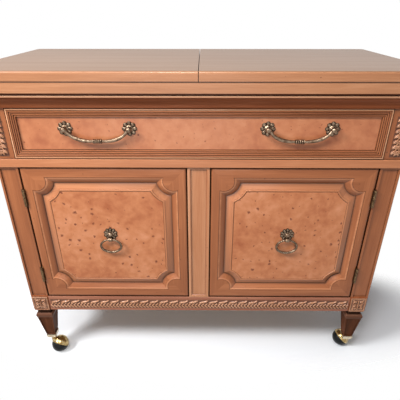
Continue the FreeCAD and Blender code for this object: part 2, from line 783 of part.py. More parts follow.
def hoodShell(where):
    """Half ball of brass with its axle, turned about its own Z; the wheel is below."""
    body = newBody("hoodShell_" + where)
    outer = s.ballRadius + s.hoodOver
    inner = outer - s.hoodWall
    sketch = sketchOn(body, "hoodProfile_" + where, "XZ_Plane")
    axle = s.axleRadius
    boss = s.hubRadius
    bossFoot = s.hubLong + s.hoodAir
    # the shell runs from the rim over the pole; the boss and the axle hang under the pole
    innerAtBoss = Size(math.sqrt(float(inner) ** 2 - float(boss) ** 2),
                       "sqrt(%s ^ 2 - %s ^ 2)" % (inner.text, boss.text))
    outline(sketch, [(asSize(0), -s.axleDeep), (axle, -s.axleDeep), (axle, bossFoot), (boss, bossFoot),
                     (boss, innerAtBoss, -inner), (inner, asSize(0)), (outer, asSize(0), outer),
                     (asSize(0), outer)])
    revolve(body, sketch)
    return body


def casterHood(where, side, middleY):
    """The swivelling part: hood, axle, collar and stem."""
    shell = hoodShell(where)
    place(shell, s.trail, 0, s.ballRadius, wheelTurn(side))
    top = s.casterHigh - s.collarAir
    collarLow = top - s.collarHigh
    collar = rod("hoodCollar_" + where, s.collarRadius, s.collarHigh, 0, 0, collarLow, "z")
    neckLow = s.ballRadius + s.neckDeep
    neck = rod("hoodNeck_" + where, s.neckRadius, collarLow - neckLow + 1, 0, 0, neckLow, "z")
    stem = rod("hoodStem_" + where, s.stemRadius, s.stemLong + s.collarAir, 0, 0, top, "z")
    hollow = ball("hoodHollow_" + where, s.ballRadius + s.hoodOver - s.hoodWall / 2,
                  s.trail, 0, s.ballRadius)
    name = "caster_hood_" + where
    top = cut(name + "Top", joined(name + "Parts", [neck, collar, stem]), [hollow])
    hood = joined(name, [shell, top])
    turn = FreeCAD.Rotation(vector(0, 0, 1), parked[where])
    place(hood, side * legX, middleY, 0, turn)
    node(name, hood)


def casterWheel(where, side, middleY):
    """Half-ball wheel, turned about its tilted axle."""
    body = newBody("caster_wheel_" + where)
    sketch = sketchOn(body, "wheelProfile_" + where, "XZ_Plane")
    air = s.hoodAir
    bore = s.axleRadius + s.axleFit
    rim = Size(math.sqrt(float(s.ballRadius) ** 2 - float(air) ** 2),
               "sqrt(%s ^ 2 - %s ^ 2)" % (s.ballRadius.text, air.text))
    deep = s.axleDeep + s.hoodAir
    outline(sketch, [(asSize(0), -s.ballRadius, s.ballRadius), (rim, -air), (s.hubRadius, -air),
                     (s.hubRadius, s.hubLong), (bore, s.hubLong), (bore, -deep), (asSize(0), -deep)])
    revolve(body, sketch)
    angle = math.radians(parked[where])
    turn = FreeCAD.Rotation(vector(0, 0, 1), parked[where]).multiply(wheelTurn(side))
    place(body, side * legX + s.trail * math.cos(angle), middleY + s.trail * math.sin(angle),
          s.ballRadius, turn)
    node("caster_wheel_" + where, body)


# ---------------------------------------------------------------- top and its hinges

flipX = half + s.flipOut
flipZ = fixedTop + s.leafGap / 2
flipBodies = (("front", -1), ("rear", 1))


def slab(name, x, z, rounded, edge):
    """A board with rounded plan corners, and a rounded upper edge where one is given."""
    body = newBody(name)
    sketch = sketchOn(body, name + "Plan", "XY_Plane", z[0])
    rectangle(sketch, x, (-s.topDepth / 2, s.topDepth / 2))
    pad(body, sketch, z[1] - z[0])
    soften(body, "Fillet", s.topCorner,
           lambda side, middle: upright(side) and any(near(middle.x, end) for end in rounded))
    if edge:
        feature = soften(body, "Fillet", s.topEdge,
                         lambda side, middle: near(middle.z, z[1]) and not near(abs(middle.x), s.seam / 2))
        feature.Label = name + "Edge"
    return body


def flipSeat(name, side, upper):
    """Mortises for the plates and room for the barrels at one end of the top."""
    tools = []
    low = flipX - s.flipOut - s.flipPlateWide
    ends = mirrored(side, low, half)
    if upper:
        zs = (fixedTop + s.leafGap, fixedTop + s.leafGap + s.flipPlate)
    else:
        zs = (fixedTop - s.flipPlate, fixedTop)
    for word, hand in flipBodies:
        middle = hand * s.flipHingeAt
        reach = s.flipHingeLong / 2
        tools.append(box(name + word + "Mortise", ends, (middle - reach, middle + reach), zs))
        tools.append(rod(name + word + "Barrel", s.flipRadius + s.relief, s.flipHingeLong + 2,
                         side * flipX, middle - reach - 1, flipZ, "y"))
    return tools


def plainTop():
    """Leaves, fixed top and serving surface."""
    for word, side in sides:
        name = "top_leaf_" + word
        low, high = mirrored(side, s.seam / 2, half)
        z = (fixedTop + s.leafGap, s.height)
        board = slab(name + "Board", (low, high), z, [side * half], True)
        node(name, cut(name, board, flipSeat(name, side, True)))
    board = slab("fixedTopBoard", (-half, half), (fixedLow, fixedTop), [-half, half], False)
    reachX = half - s.surfaceMargin
    reachY = s.topDepth / 2 - s.surfaceMargin
    sink = box("surfaceSink", (-reachX, reachX), (-reachY, reachY), (fixedTop - s.surfaceThick, fixedTop))
    tools = flipSeat("fixedTop", -1, False) + flipSeat("fixedTopRight", 1, False) + [sink]
    node("fixed_top", cut("fixed_top", board, tools))
    air = s.fitGap
    node("serving_surface", box("serving_surface", (-reachX + air, reachX - air),
                                (-reachY + air, reachY - air), (fixedTop - s.surfaceThick, fixedTop)))


def flipHinge(name, side, hand, moving):
    """One plate of a flip hinge with its knuckles, bored for the pin."""
    middle = hand * s.flipHingeAt
    third = s.flipHingeLong / 3
    reach = s.flipHingeLong / 2
    clear = s.flipRadius + s.relief
    if moving:
        zs = (fixedTop + s.leafGap, fixedTop + s.leafGap + s.flipPlate)
        spans = [(middle - third / 2 + s.knuckleAir, middle + third / 2 - s.knuckleAir)]
    else:
        zs = (fixedTop - s.flipPlate, fixedTop)
        spans = [(middle - reach, middle - third / 2), (middle + third / 2, middle + reach)]
    plateX = mirrored(side, half - s.flipPlateWide, flipX - clear)
    plate = box(name + "Plate", plateX, (middle - reach, middle + reach), zs)
    parts = [plate]
    for number, (low, high) in enumerate(spans):
        arm = mirrored(side, flipX - clear - 1, flipX)
        parts.append(box("%sArm%d" % (name, number), arm, (low, high), zs))
        parts.append(rod("%sKnuckle%d" % (name, number), s.flipRadius, high - low,
                         side * flipX, low, flipZ, "y"))
    bore = rod(name + "Bore", s.pinRadius + s.pinFit, s.flipHingeLong,
               side * flipX, middle - reach, flipZ, "y")
    return cut(name, joined(name + "Parts", parts), [bore])


def doorHinge(name, side, level, moving):
    """One plate of a butt hinge with its knuckles, bored for the pin."""
    pinX = side * hingeX
    third = s.hingeHigh / 3
    top = level + s.hingeHigh
    clear = s.barrelRadius + s.relief
    if moving:
        xs = mirrored(side, doorOuter - s.plateThick, doorOuter)
        spans = [(level + third + s.knuckleAir, top - third - s.knuckleAir)]
    else:
        xs = mirrored(side, innerX, innerX + s.plateThick)
        spans = [(level, level + third), (top - third, top)]
    parts = [box(name + "Plate", xs, (hingeY + clear, frontY + s.plateWide), (level, top))]
    for number, (low, high) in enumerate(spans):
        parts.append(box("%sArm%d" % (name, number), xs, (hingeY, hingeY + clear + 1), (low, high)))
        parts.append(rod("%sKnuckle%d" % (name, number), s.barrelRadius, high - low,
                         pinX, hingeY, low, "z"))
    bore = rod(name + "Bore", s.pinRadius + s.pinFit, s.hingeHigh, pinX, hingeY, level, "z")
    return cut(name, joined(name + "Parts", parts), [bore])


hingeX = innerX - s.doorGap / 2
hingeY = frontY - s.barrelOut
hingeLevels = (("lower", doorLow + s.hingeRise), ("upper", doorTop - s.hingeDrop - s.hingeHigh))


def hingeReliefs(name, side, inPost):
    """Mortises for the butt hinges and room for their barrels, in a post or a door."""
    tools = []
    if inPost:
        xs = mirrored(side, innerX, innerX + s.plateThick)
    else:
        xs = mirrored(side, doorOuter - s.plateThick, doorOuter)
    for word, level in hingeLevels:
        tools.append(box(name + word + "Mortise", xs, (frontY - 1, frontY + s.plateWide),
                         (level, level + s.hingeHigh)))
        tools.append(rod(name + word + "Barrel", s.barrelRadius + s.relief, s.hingeHigh + 2,
                         side * hingeX, hingeY, level - 1, "z"))
    return tools


def hinges():
    """Plates that stay with the carcass, plates that move, and all pins."""
    fixed = []
    pins = []
    for word, side in sides:
        moving = []
        for where, hand in flipBodies:
            fixed.append(flipHinge("flipFixed" + word + where, side, hand, False))
            moving.append(flipHinge("flipMoving" + word + where, side, hand, True))
            start = hand * s.flipHingeAt - s.flipHingeLong / 2
            pins.append(rod("flipPin" + word + where, s.pinRadius, s.flipHingeLong, side * flipX, start,
                            flipZ, "y"))
        node("top_hinge_leaves_" + word, group("top_hinge_leaves_" + word, moving))
        moving = []
        for where, level in hingeLevels:
            fixed.append(doorHinge("doorFixed" + word + where, side, level, False))
            moving.append(doorHinge("doorMoving" + word + where, side, level, True))
            pins.append(rod("doorPin" + word + where, s.pinRadius, s.hingeHigh, side * hingeX, hingeY,
                            level, "z"))
        node("door_hinge_leaves_" + word, group("door_hinge_leaves_" + word, moving))
    node("fixed_hinge_leaves", group("fixed_hinge_leaves", fixed))
    node("hinge_pins", group("hinge_pins", pins))


# ---------------------------------------------------------------- drawer

def drawer():
    """Front with its burl panel, box, and the runners it slides on."""
    body = newBody("drawer_front")
    face = sketchOn(body, "drawerFace", "XZ_Plane", -drawerY)
    rectangle(face, (-drawerX, drawerX), (drawerLow, drawerTop))
    pad(body, face, s.railThick, True)
    frame = s.drawerFrame
    sunk = sketchOn(body, "drawerSunk", "XZ_Plane", -drawerY)
    openX = (-drawerX + frame, drawerX - frame)
    openZ = (drawerLow + frame, drawerTop - frame)
    rectangle(sunk, openX, openZ)
    pocket(body, sunk, s.drawerSunk + s.burlThick)
    soften(body, "Chamfer", s.drawerSunk * 0.8,
           lambda edge, middle: near(middle.y, drawerY) and abs(middle.x) < float(drawerX) - 1
           and float(drawerLow) + 1 < middle.z < float(drawerTop) - 1)
    node("drawer_front", body)
    air = s.fitGap / 3
    panel = box("burlBoard", (openX[0] + air, openX[1] - air), (burlY, burlY + s.burlThick),
                (openZ[0] + air, openZ[1] - air))
    node("drawer_burl_panel", panel)
    outer = innerX - s.drawerSlack
    wall = s.drawerWall
    low = railTop + s.drawerLift
    high = low + s.drawerWallHigh
    rear = backPanelY - s.backThick - s.drawerAir
    floorLow = low + s.floorRise
    walls = []
    for word, side in sides:
        board = box("drawerSide" + word, mirrored(side, outer - wall, outer),
                    (drawerBackY, rear), (low, high))
        grooved = outer - wall + s.floorGroove + s.fitGap
        groove = box("drawerGroove" + word, mirrored(side, outer - wall, grooved),
                     (drawerBackY, rear), (floorLow - s.fitGap, floorLow + s.drawerFloor + s.fitGap))
        walls.append(cut("drawerWall" + word, board, [groove]))
    node("drawer_sides", group("drawer_sides", walls))
    inside = outer - wall
    node("drawer_back", box("drawer_back", (-inside, inside), (rear - wall, rear),
                            (floorLow + s.drawerFloor, high)))
    reach = inside + s.floorGroove
    node("drawer_bottom", box("drawer_bottom", (-reach, reach), (drawerBackY, rear),
                              (floorLow, floorLow + s.drawerFloor)))
    runners = []
    for word, side in sides:
        ledge = box("runnerLedge" + word, mirrored(side, outer - s.runnerWide, panelInner),
                    (postFrontY, postRearY), (dustTop, low - s.runAir))
        guide = box("runnerGuide" + word, mirrored(side, outer + s.runAir, panelInner),
                    (postFrontY, postRearY), (dustTop, low + s.guideHigh))
        runners.append(joined("runner" + word, [ledge, guide]))
    node("drawer_runners", group("drawer_runners", runners))


petalShare = 0.28


def rosette(name, x, y, z, radius, petals):
    """A petalled plate, facing the front, on a plane at y."""
    body = newBody(name)
    plate = sketchOn(body, name + "Disc", "XZ_Plane")
    circle(plate, 0, 0, radius * (1 - 0.8 * petalShare))
    pad(body, plate, s.rosetteThick)
    petal = sketchOn(body, name + "Petal", "XZ_Plane")
    circle(petal, 0, radius * (1 - petalShare), radius * petalShare)
    one = pad(body, petal, s.rosetteThick * 0.8)
    pattern = body.newObject("PartDesign::PolarPattern", name + "Petals")
    pattern.Originals = [one]
    pattern.Axis = (petal, ["N_Axis"])
    pattern.Angle = 360
    pattern.Occurrences = petals
    body.Tip = pattern
    place(body, x, y, z)
    return body


def drawerPulls():
    """Bails with the rosettes and ball bosses that hold them."""
    bosses = []
    axisZ = drawerTop - s.bailDrop
    axisY = burlY - s.bailReach
    fit = s.pinFit * 2
    for word, side in sides:
        middle = side * s.bailAt
        for hand in (-1, 1):
            name = "boss%s%s" % (word, "lr"[hand > 0])
            x = middle + hand * s.bailSpan / 2
            plate = rosette(name + "Plate", x, burlY, axisZ, s.rosetteRadius, 8)
            neck = rod(name + "Neck", s.ballBoss * 0.7, s.bailReach, x, axisY, axisZ, "y")
            knob = ball(name + "Ball", s.ballBoss, x, axisY, axisZ)
            eyeX = x if hand < 0 else x - s.ballBoss - 1
            eye = rod(name + "Eye", s.bailRadius + fit, s.ballBoss + 1, eyeX, axisY, axisZ, "x")
            bosses.append(cut(name, joined(name + "Parts", [plate, neck, knob]), [eye]))
        node("bail_" + word, bail("bail_" + word, middle, axisY, axisZ))
    node("bail_rosettes", group("bail_rosettes", bosses))


def roundedPath(points, radii):
    """Straight runs joined by tangent arcs, one radius for each inner point."""
    edges = []
    start = points[0]
    for before, corner, after, radius in zip(points, points[1:], points[2:], radii):
        back = (before - corner).normalize()
        ahead = (after - corner).normalize()
        turn = math.pi - back.getAngle(ahead)
        step = radius * math.tan(turn / 2)
        enter = corner + back * step
        leave = corner + ahead * step
        bisector = (back + ahead).normalize()
        middle = corner + bisector * (radius / math.cos(turn / 2) - radius)
        edges.append(Part.LineSegment(start, enter).toShape())
        edges.append(Part.Arc(enter, middle, leave).toShape())
        start = leave
    edges.append(Part.LineSegment(start, points[-1]).toShape())
    return Part.Wire(edges)


def swept(path, radius):
    """A round rod along a path in a plane."""
    first = path.Edges[0]
    start = first.valueAt(first.FirstParameter)
    section = Part.Wire([Part.Circle(start, first.tangentAt(first.FirstParameter), radius).toShape()])
    return path.makePipeShell([section], True, True)


def bail(name, middle, axisY, axisZ):
    """Bowed rod with a thick grip; its ends turn in the ball bosses."""
    reach = float(s.bailSpan) / 2 - float(s.bailRadius) / 2
    drop = float(s.bailHang)
    radius = float(s.bailRadius)
    neck = reach - float(s.ballBoss) - float(s.bailNeck)
    right = [vector(reach, 0, 0), vector(neck, 0, 0),
             vector(neck - float(s.kneeIn), 0, -float(s.kneeDrop)),
             vector(neck - float(s.flatIn), 0, -drop)]
    left = [vector(-point.x, 0, point.z) for point in reversed(right)]
    bends = [float(s.neckBend), float(s.kneeBend), float(s.flatBend)]
    rodShape = swept(roundedPath(right + left, bends + bends[::-1]), radius)
    thick = float(s.bailGrip)
    start = float(s.gripLong) / 2
    swell = [Part.makeCylinder(thick, 2 * start, vector(-start, 0, -drop), vector(1, 0, 0))]
    for hand in (-1, 1):
        swell.append(Part.makeCone(thick * 0.8, radius + float(s.gripStep), float(s.gripTaper),
                                   vector(hand * start, 0, -drop), vector(hand, 0, 0)))
    thing = doc.addObject("Part::Feature", name)
    thing.Shape = rodShape.multiFuse(swell)
    place(thing, middle, axisY, axisZ)
    return thing


# ---------------------------------------------------------------- doors

def doors():
    """Frame with rounded inner corners, raised panel and ring pull of each door."""
    openX = (doorInner + s.doorStile, doorOuter - s.doorStile)
    openZ = (doorLow + s.doorRail, doorTop - s.doorRail)
    for word, side in sides:
        name = "door_frame_" + word
        xs = mirrored(side, doorInner, doorOuter)
        whole = box(name + "Board", xs, (frontY, railY), (doorLow, doorTop))
        hole = cornered(name + "Opening", side, openX, openZ, 0, s.cornerRadius, (frontY - 1, railY + 1))
        node(name, cut(name, whole, [hole] + hingeReliefs(name, side, False)))
        name = "door_panel_" + word
        plateY = (frontY + s.panelSink, frontY + s.panelSink + s.panelBack)
        air = s.fitGap / 3
        plate = cornered(name + "Plate", side, openX, openZ, air, s.cornerRadius + air, plateY)
        field = cornered(name + "Field", side, openX, openZ, s.fieldInset, s.cornerRadius + s.fieldInset,
                         (fieldY, frontY + s.panelSink + 1))
        node(name, joined(name, [plate, field]))
        ringPull(word, side)


def cornered(name, side, xs, zs, inset, radius, ys):
    """A board inset in the opening, its corners cut by quarter circles about the opening's corners."""
    low, high = mirrored(side, xs[0] + inset, xs[1] - inset)
    board = box(name + "Board", (low, high), ys, (zs[0] + inset, zs[1] - inset))
    cornersCut = []
    for x in mirrored(side, xs[0], xs[1]):
        for z in zs:
            number = len(cornersCut)
            cornersCut.append(rod("%sCorner%d" % (name, number), radius, ys[1] - ys[0] + 2,
                                  x, ys[0] - 1, z, "y"))
    return cut(name, board, cornersCut)


def ringPull(word, side):
    """Petalled boss with its lug, and the oval ring that hangs through it."""
    middle = side * doorMiddle
    name = "ring_boss_" + word
    plate = rosette(name + "Plate", middle, fieldY, doorCentreZ + s.bossRise, s.rosetteRadius + 1, 10)
    dome = ball(name + "Dome", s.ballBoss, middle, fieldY - s.rosetteThick, doorCentreZ + s.bossRise)
    axisY = fieldY - s.ringReach
    axisZ = doorCentreZ + s.bossRise - s.ringDrop
    lug = rod(name + "Lug", s.lugRadius, s.lugLong, middle - s.lugLong / 2, axisY, axisZ, "x")
    web = box(name + "Web", (middle - s.lugLong / 2, middle + s.lugLong / 2), (axisY, fieldY),
              (axisZ - s.lugRadius * 0.7, axisZ + s.lugRadius * 0.7))
    eye = rod(name + "Eye", s.ringRadius + s.ringFit + ringSag(), s.lugLong + 2, middle - s.lugLong / 2 - 1,
              axisY, axisZ, "x")
    whole = flatBacked(name + "Whole", joined(name + "Parts", [plate, dome, lug, web]), fieldY)
    node(name, cut(name, whole, [eye]))
    ring = doc.addObject("Part::Feature", "ring_" + word)
    wide = float(s.ringWide) / 2 - float(s.ringRadius)
    high = float(s.ringHigh) / 2 - float(s.ringRadius)
    oval = Part.Ellipse(vector(wide, 0, -high), vector(0, 0, 0), vector(0, 0, -high))
    path = Part.Wire([oval.toShape()])
    ring.Shape = swept(path, float(s.ringRadius))
    place(ring, middle, axisY, axisZ)
    node("ring_" + word, ring)


def ringSag():
    """How far the oval leaves its axis within half a lug."""
    wide = s.ringWide / 2 - s.ringRadius
    high = s.ringHigh / 2 - s.ringRadius
    part = s.lugLong / 2 / wide
    amount = high * (1 - math.sqrt(1 - float(part) ** 2))
    return Size(float(amount), "(%s * (1 - sqrt(1 - %s ^ 2)))" % (high.text, part.text))


def catches():
    """Magnetic catches under the dust board, one for each door."""
    pieces = []
    for word, side in sides:
        start = s.partitionThick / 2 + s.catchLong / 2
        xs = mirrored(side, start, start + s.catchLong)
        pieces.append(box("catch" + word, xs, (railY + s.fitGap, railY + s.fitGap + s.catchDeep),
                          (dustLow - s.catchHigh, dustLow)))
    node("door_catches", group("door_catches", pieces))


# ---------------------------------------------------------------- assembly

for where, (side, middleY) in corners.items():
    cornerPost(where, side)
    leg(where, side, middleY)
    casterHood(where, side, middleY)
    casterWheel(where, side, middleY)
node("caster_sockets", group("caster_sockets", [casterSocket(where, side, middleY)
                                                for where, (side, middleY) in corners.items()]))
for word, side in sides:
    sidePanel(word, side)
boards()
rails()
cornice()
carvings()
plainTop()
hinges()
drawer()
drawerPulls()
doors()
catches()
doc.recompute()

failed = [item.Name for item in doc.Objects if "Invalid" in item.State or "Error" in item.State]
if failed:
    raise RuntimeError("failed: " + ", ".join(failed))
os.makedirs("parts", exist_ok=True)
for name, thing in nodes.items():
    if thing.Shape.isNull() or not thing.Shape.isValid():
        raise RuntimeError("bad shape: " + name)
for name, thing in nodes.items():
    thing.Shape.exportStep("parts/%s.step" % name)
print(len(nodes), "pieces written")
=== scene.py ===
# A flip-top bar cabinet in lacquered pecan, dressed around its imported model.
from functools import partial
from math import asin, cos, degrees, pi, radians, sin

import bmesh
import bpy
import numpy as np
from mathutils import Matrix, Vector


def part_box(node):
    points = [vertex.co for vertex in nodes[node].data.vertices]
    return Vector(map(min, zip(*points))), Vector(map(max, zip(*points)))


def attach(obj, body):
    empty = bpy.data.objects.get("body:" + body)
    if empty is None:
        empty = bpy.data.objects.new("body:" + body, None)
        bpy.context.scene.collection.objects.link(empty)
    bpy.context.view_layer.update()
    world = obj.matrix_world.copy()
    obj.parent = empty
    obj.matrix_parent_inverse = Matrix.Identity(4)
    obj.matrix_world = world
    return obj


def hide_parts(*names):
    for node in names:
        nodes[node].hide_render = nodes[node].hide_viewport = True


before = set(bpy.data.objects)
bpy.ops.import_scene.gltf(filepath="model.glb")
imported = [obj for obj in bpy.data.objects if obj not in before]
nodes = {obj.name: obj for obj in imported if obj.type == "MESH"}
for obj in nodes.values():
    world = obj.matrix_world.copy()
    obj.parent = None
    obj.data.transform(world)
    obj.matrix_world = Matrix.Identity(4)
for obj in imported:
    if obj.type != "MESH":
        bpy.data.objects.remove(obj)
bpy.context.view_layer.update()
mm = 0.001
sides = {"left": -1, "right": 1}
corners = ("front_left", "front_right", "rear_left", "rear_right")


def shade(hexColour):
    # sRGB hex to the linear colour that the nodes take
    parts = [int(hexColour[start:start + 2], 16) / 255 for start in (1, 3, 5)]
    return [part / 12.92 if part <= 0.04045 else ((part + 0.055) / 1.055) ** 2.4 for part in parts] + [1.0]


def fill(node, inputs):
    # inputs are values or what feeds them, by name or in order; a node feeds from its first live output
    for key, value in inputs.items() if isinstance(inputs, dict) else enumerate(inputs):
        if isinstance(value, bpy.types.Node):
            value = next(socket for socket in value.outputs if socket.enabled)
        if isinstance(value, bpy.types.NodeSocket):
            node.id_data.links.new(value, node.inputs[key])
        else:
            node.inputs[key].default_value = value


def addNode(tree, kind, inputs=(), stops=(), **settings):
    # MapRange takes in order its value, the range that it comes from and the range that it goes to;
    # stops are a ramp's colours
    node = tree.nodes.new("ShaderNode" + kind)
    for key, value in settings.items():
        setattr(node, key, value)
    fill(node, inputs)
    for number, (position, colour) in enumerate(stops):
        if number == len(node.color_ramp.elements):
            node.color_ramp.elements.new(1.0)
        node.color_ramp.elements[number].position = position
        node.color_ramp.elements[number].color = shade(colour)
    return node


def newFinish(name):
    # an empty material, the piece's own coordinates, and what adds nodes to it
    material = bpy.data.materials.new(name)
    material.use_nodes = True
    add = partial(addNode, material.node_tree)
    return material, add("TexCoord").outputs["Object"], add


def coated(material, **inputs):
    # the material, with its shader's inputs set or fed
    named = {key.replace("_", " "): value for key, value in inputs.items()}
    fill(material.node_tree.nodes["Principled BSDF"], named)
    return material


print("stage: finishes")

# Pecan, flat sliced and lacquered: low straight figure, fly specks, dark glaze in the quirks, and painted
# shade in creases, joints and recesses.
pecanLook = {
    "tones": ("#a96740", "#ba754b", "#c98459"), "glaze": "#3c2013", "speck": "#4a2a18",
    "figure": (0.022, 0.42),          # metres across and along one band of figure
    "fibre": (0.0026, 0.06),          # drawn coarser than real pores, so that they show
    "speckPitch": 0.022, "speckSize": 0.09,
    "creaseShadeReach": 0.011,               # how far from a corner the painted crease shade reaches
    "roughness": (0.32, 0.46), "specular": 0.4, "coat": 0.25, "coatRoughness": 0.16, "bump": 0.08,
}
toneStops = (0.34, 0.5, 0.64)


def pecan(name, along, seed=0.0, **changes):
    look = pecanLook | changes
    material, place, add = newFinish(name)

    def streaks(size, **pattern):
        # noise in which one unit is a band's width across the grain and its length along it
        scale = [1 / size[0]] * 3
        scale["XYZ".index(along)] = 1 / size[1]
        drawn = add("Mapping", {"Vector": place, "Location": (seed, seed * 1.7, seed * 0.6), "Scale": scale})
        return add("TexNoise", {"Vector": drawn, "Scale": 1.0, **pattern})

    figure = streaks(look["figure"], Detail=3.0, Roughness=0.55, Distortion=0.5)
    fibre = streaks(look["fibre"], Detail=2.0, Roughness=0.6)
    patch = add("TexNoise", {"Vector": place, "Scale": 5.0, "Detail": 2.0})
    blend = 0.0
    for pattern, share in ((figure, 0.62), (fibre, 0.26), (patch, 0.12)):
        blend = add("Math", (pattern, share, blend), operation="MULTIPLY_ADD")
    wood = add("ValToRGB", {"Fac": blend}, zip(toneStops, look["tones"]))
    if "upper" in look:
        # painted reflection: the face that looks up is greyer, as if it reflected the pale room
        facing = add("SeparateXYZ", (add("TexCoord").outputs["Normal"],)).outputs["Z"]
        reflectionWood = add("ValToRGB", {"Fac": blend}, zip(toneStops, look["upper"]))
        up = add("MapRange", (facing, 0.5, 0.95))
        wood = add("Mix", {0: up, 6: wood, 7: reflectionWood}, data_type="RGBA")
    # fly specks: one small dot in some cells of a cell pattern
    cells = add("TexVoronoi", {"Vector": place, "Scale": 1 / look["speckPitch"], "Randomness": 1.0})
    tint = add("SeparateColor", {"Color": cells.outputs["Color"]})
    size = add("MapRange", (tint, 0.55, 1.0, 0.0, look["speckSize"]))
    speck = add("Math", (cells, size), operation="LESS_THAN")
    speck = add("Math", (speck, 0.6), operation="MULTIPLY")
    wood = add("Mix", {0: speck, 6: wood, 7: shade(look["speck"])}, data_type="RGBA")
    # the vertex attribute read here is how dark a vertex is painted, for glaze and for painted shade in its
    # recess, more in some patches than in others
    broken = add("MapRange", (patch, 0.3, 0.7, 0.75, 1.0))
    glazeAndShadeShare = add("Attribute", attribute_name="glaze").outputs["Fac"]
    glazeAndShadeShare = add("Math", (glazeAndShadeShare, broken), operation="MULTIPLY")
    # painted shade: darker along joints and under mouldings, wherever an ambient occlusion test finds a
    # surface close by
    creaseShade = add("AmbientOcclusion", {"Distance": look["creaseShadeReach"]}, samples=6)
    creaseShade = add("MapRange", (creaseShade.outputs["AO"], 0.35, 0.93, 0.9, 0.0))
    glazeAndShadeShare = add("Math", (glazeAndShadeShare, creaseShade), operation="MAXIMUM")
    if "upper" in look:
        # painted shade: on the top a dark line along both sides of the joint under the leaves, on upright
        # faces alone
        height, seamShadeReach = look["seam"]
        level = add("SeparateXYZ", (place,)).outputs["Z"]
        away = add("Math", (level, height), operation="SUBTRACT")
        away = add("Math", (away,), operation="ABSOLUTE")
        line = add("MapRange", (away, 0.3 * seamShadeReach, seamShadeReach, 0.8, 0.0))
        tilt = add("Math", (facing,), operation="ABSOLUTE")
        upright = add("MapRange", (tilt, 0.8, 0.98, 1.0, 0.0))
        line = add("Math", (line, upright), operation="MULTIPLY")
        glazeAndShadeShare = add("Math", (glazeAndShadeShare, line), operation="MAXIMUM")
    low, high = look["roughness"]
    return coated(material, IOR=1.5, Specular_IOR_Level=look["specular"], Coat_Weight=look["coat"],
                  Coat_Roughness=look["coatRoughness"],
                  Base_Color=add("Mix", {0: glazeAndShadeShare, 6: wood, 7: shade(look["glaze"])}, data_type="RGBA"),
                  Roughness=add("MapRange", (blend, 0.3, 0.7, high, low)),
                  Normal=add("Bump", {"Height": fibre, "Strength": look["bump"], "Distance": 0.0006}))


# One recipe for each part of the case; X, Y and Z say which way the grain runs.
shadedLook = {"tones": ("#8e502c", "#a05e37", "#b16c42"), "specular": 0.3, "coat": 0.2}
# umber: a darker copy of the pecan that paints shade, on the front of the cornice and the posts' rounded feet
umberShadeLook = {"tones": ("#8f4b25", "#a65a33", "#ba6c44"), "specular": 0.15, "coat": 0.0}
legStain = {"glaze": "#170a05", "specular": 0.04, "coat": 0.0}
insideLook = {"tones": ("#8d6843", "#a8835a", "#bd9a70"), "coat": 0.05, "roughness": (0.5, 0.62)}
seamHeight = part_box("top_leaf_left")[0][2]
pecanAlong = {axis: pecan("lacqueredPecan" + axis, axis) for axis in "XYZ"}
# the top's face that looks up takes greyer tones, a painted reflection; along the joint under the leaves runs
# a dark line of painted shade
topPecan = pecan("lacqueredPecanTop", "X", tones=("#9f6845", "#af7650", "#be855f"),
                 upper=("#79573b", "#7d5b3f", "#815f43"), specular=0.4, coat=0.12, roughness=(0.37, 0.42),
                 bump=0.03, seam=(seamHeight, 0.0024))
# the centre stile's copy is lighter: a painted sheen
sheenStilePecan = pecan("sheenPecanStile", "Z", tones=("#b5744b", "#c5865d", "#d49871"))
shadedAlong = {axis: pecan("shadedPecan" + axis, axis, **shadedLook) for axis in "XZ"}
umberShadeAlong = {axis: pecan("umberShadePecan" + axis, axis, **umberShadeLook) for axis in "XZ"}
apronPecan = pecan("redPecanApron", "X", tones=("#8f553e", "#a7694e", "#bc7e60"), specular=0.3, coat=0.1)
# the bead's copy is lighter still: a painted highlight on beads and edges
highlightBeadPecan = pecan("highlightPecanBead", "X", tones=("#c58a60", "#d79b72", "#e4ab84"))
legWood = pecan("darkPecanLeg", "Z", 3.0, tones=("#4a2917", "#62361f", "#7a4930"), **legStain)
legCapWood = pecan("darkPecanCap", "X", 5.0, tones=("#5c3a2b", "#714c3b", "#845d49"), **legStain)
# the carving darkens in its hollows: glaze with painted shade
carvedPecan = pecan("glazedCarvedPecan", "X", 7.0, tones=("#9c6444", "#c08863", "#d8a17e"), glaze="#4a2010",
                    specular=0.35, coat=0.1)
insideAlong = {axis: pecan("sealedInsideWood" + axis, axis, 11.0, **insideLook) for axis in "XYZ"}

# Burl veneer: swirling orange figure with clusters of pin knots, 3 to 6 mm across.
burlLook = {
    "tones": ("#a95e38", "#c47b50", "#d79068"), "knot": "#5e200c",
    "figureSize": 0.05, "clusterSize": 0.11, "mottle": 0.019,
    "knotPitch": 0.021, "knotSize": 0.24, "wander": 0.009, "wanderSize": 1 / 170,
    "roughness": (0.3, 0.4), "specular": 0.35, "coat": 0.12, "coatRoughness": 0.14,
}


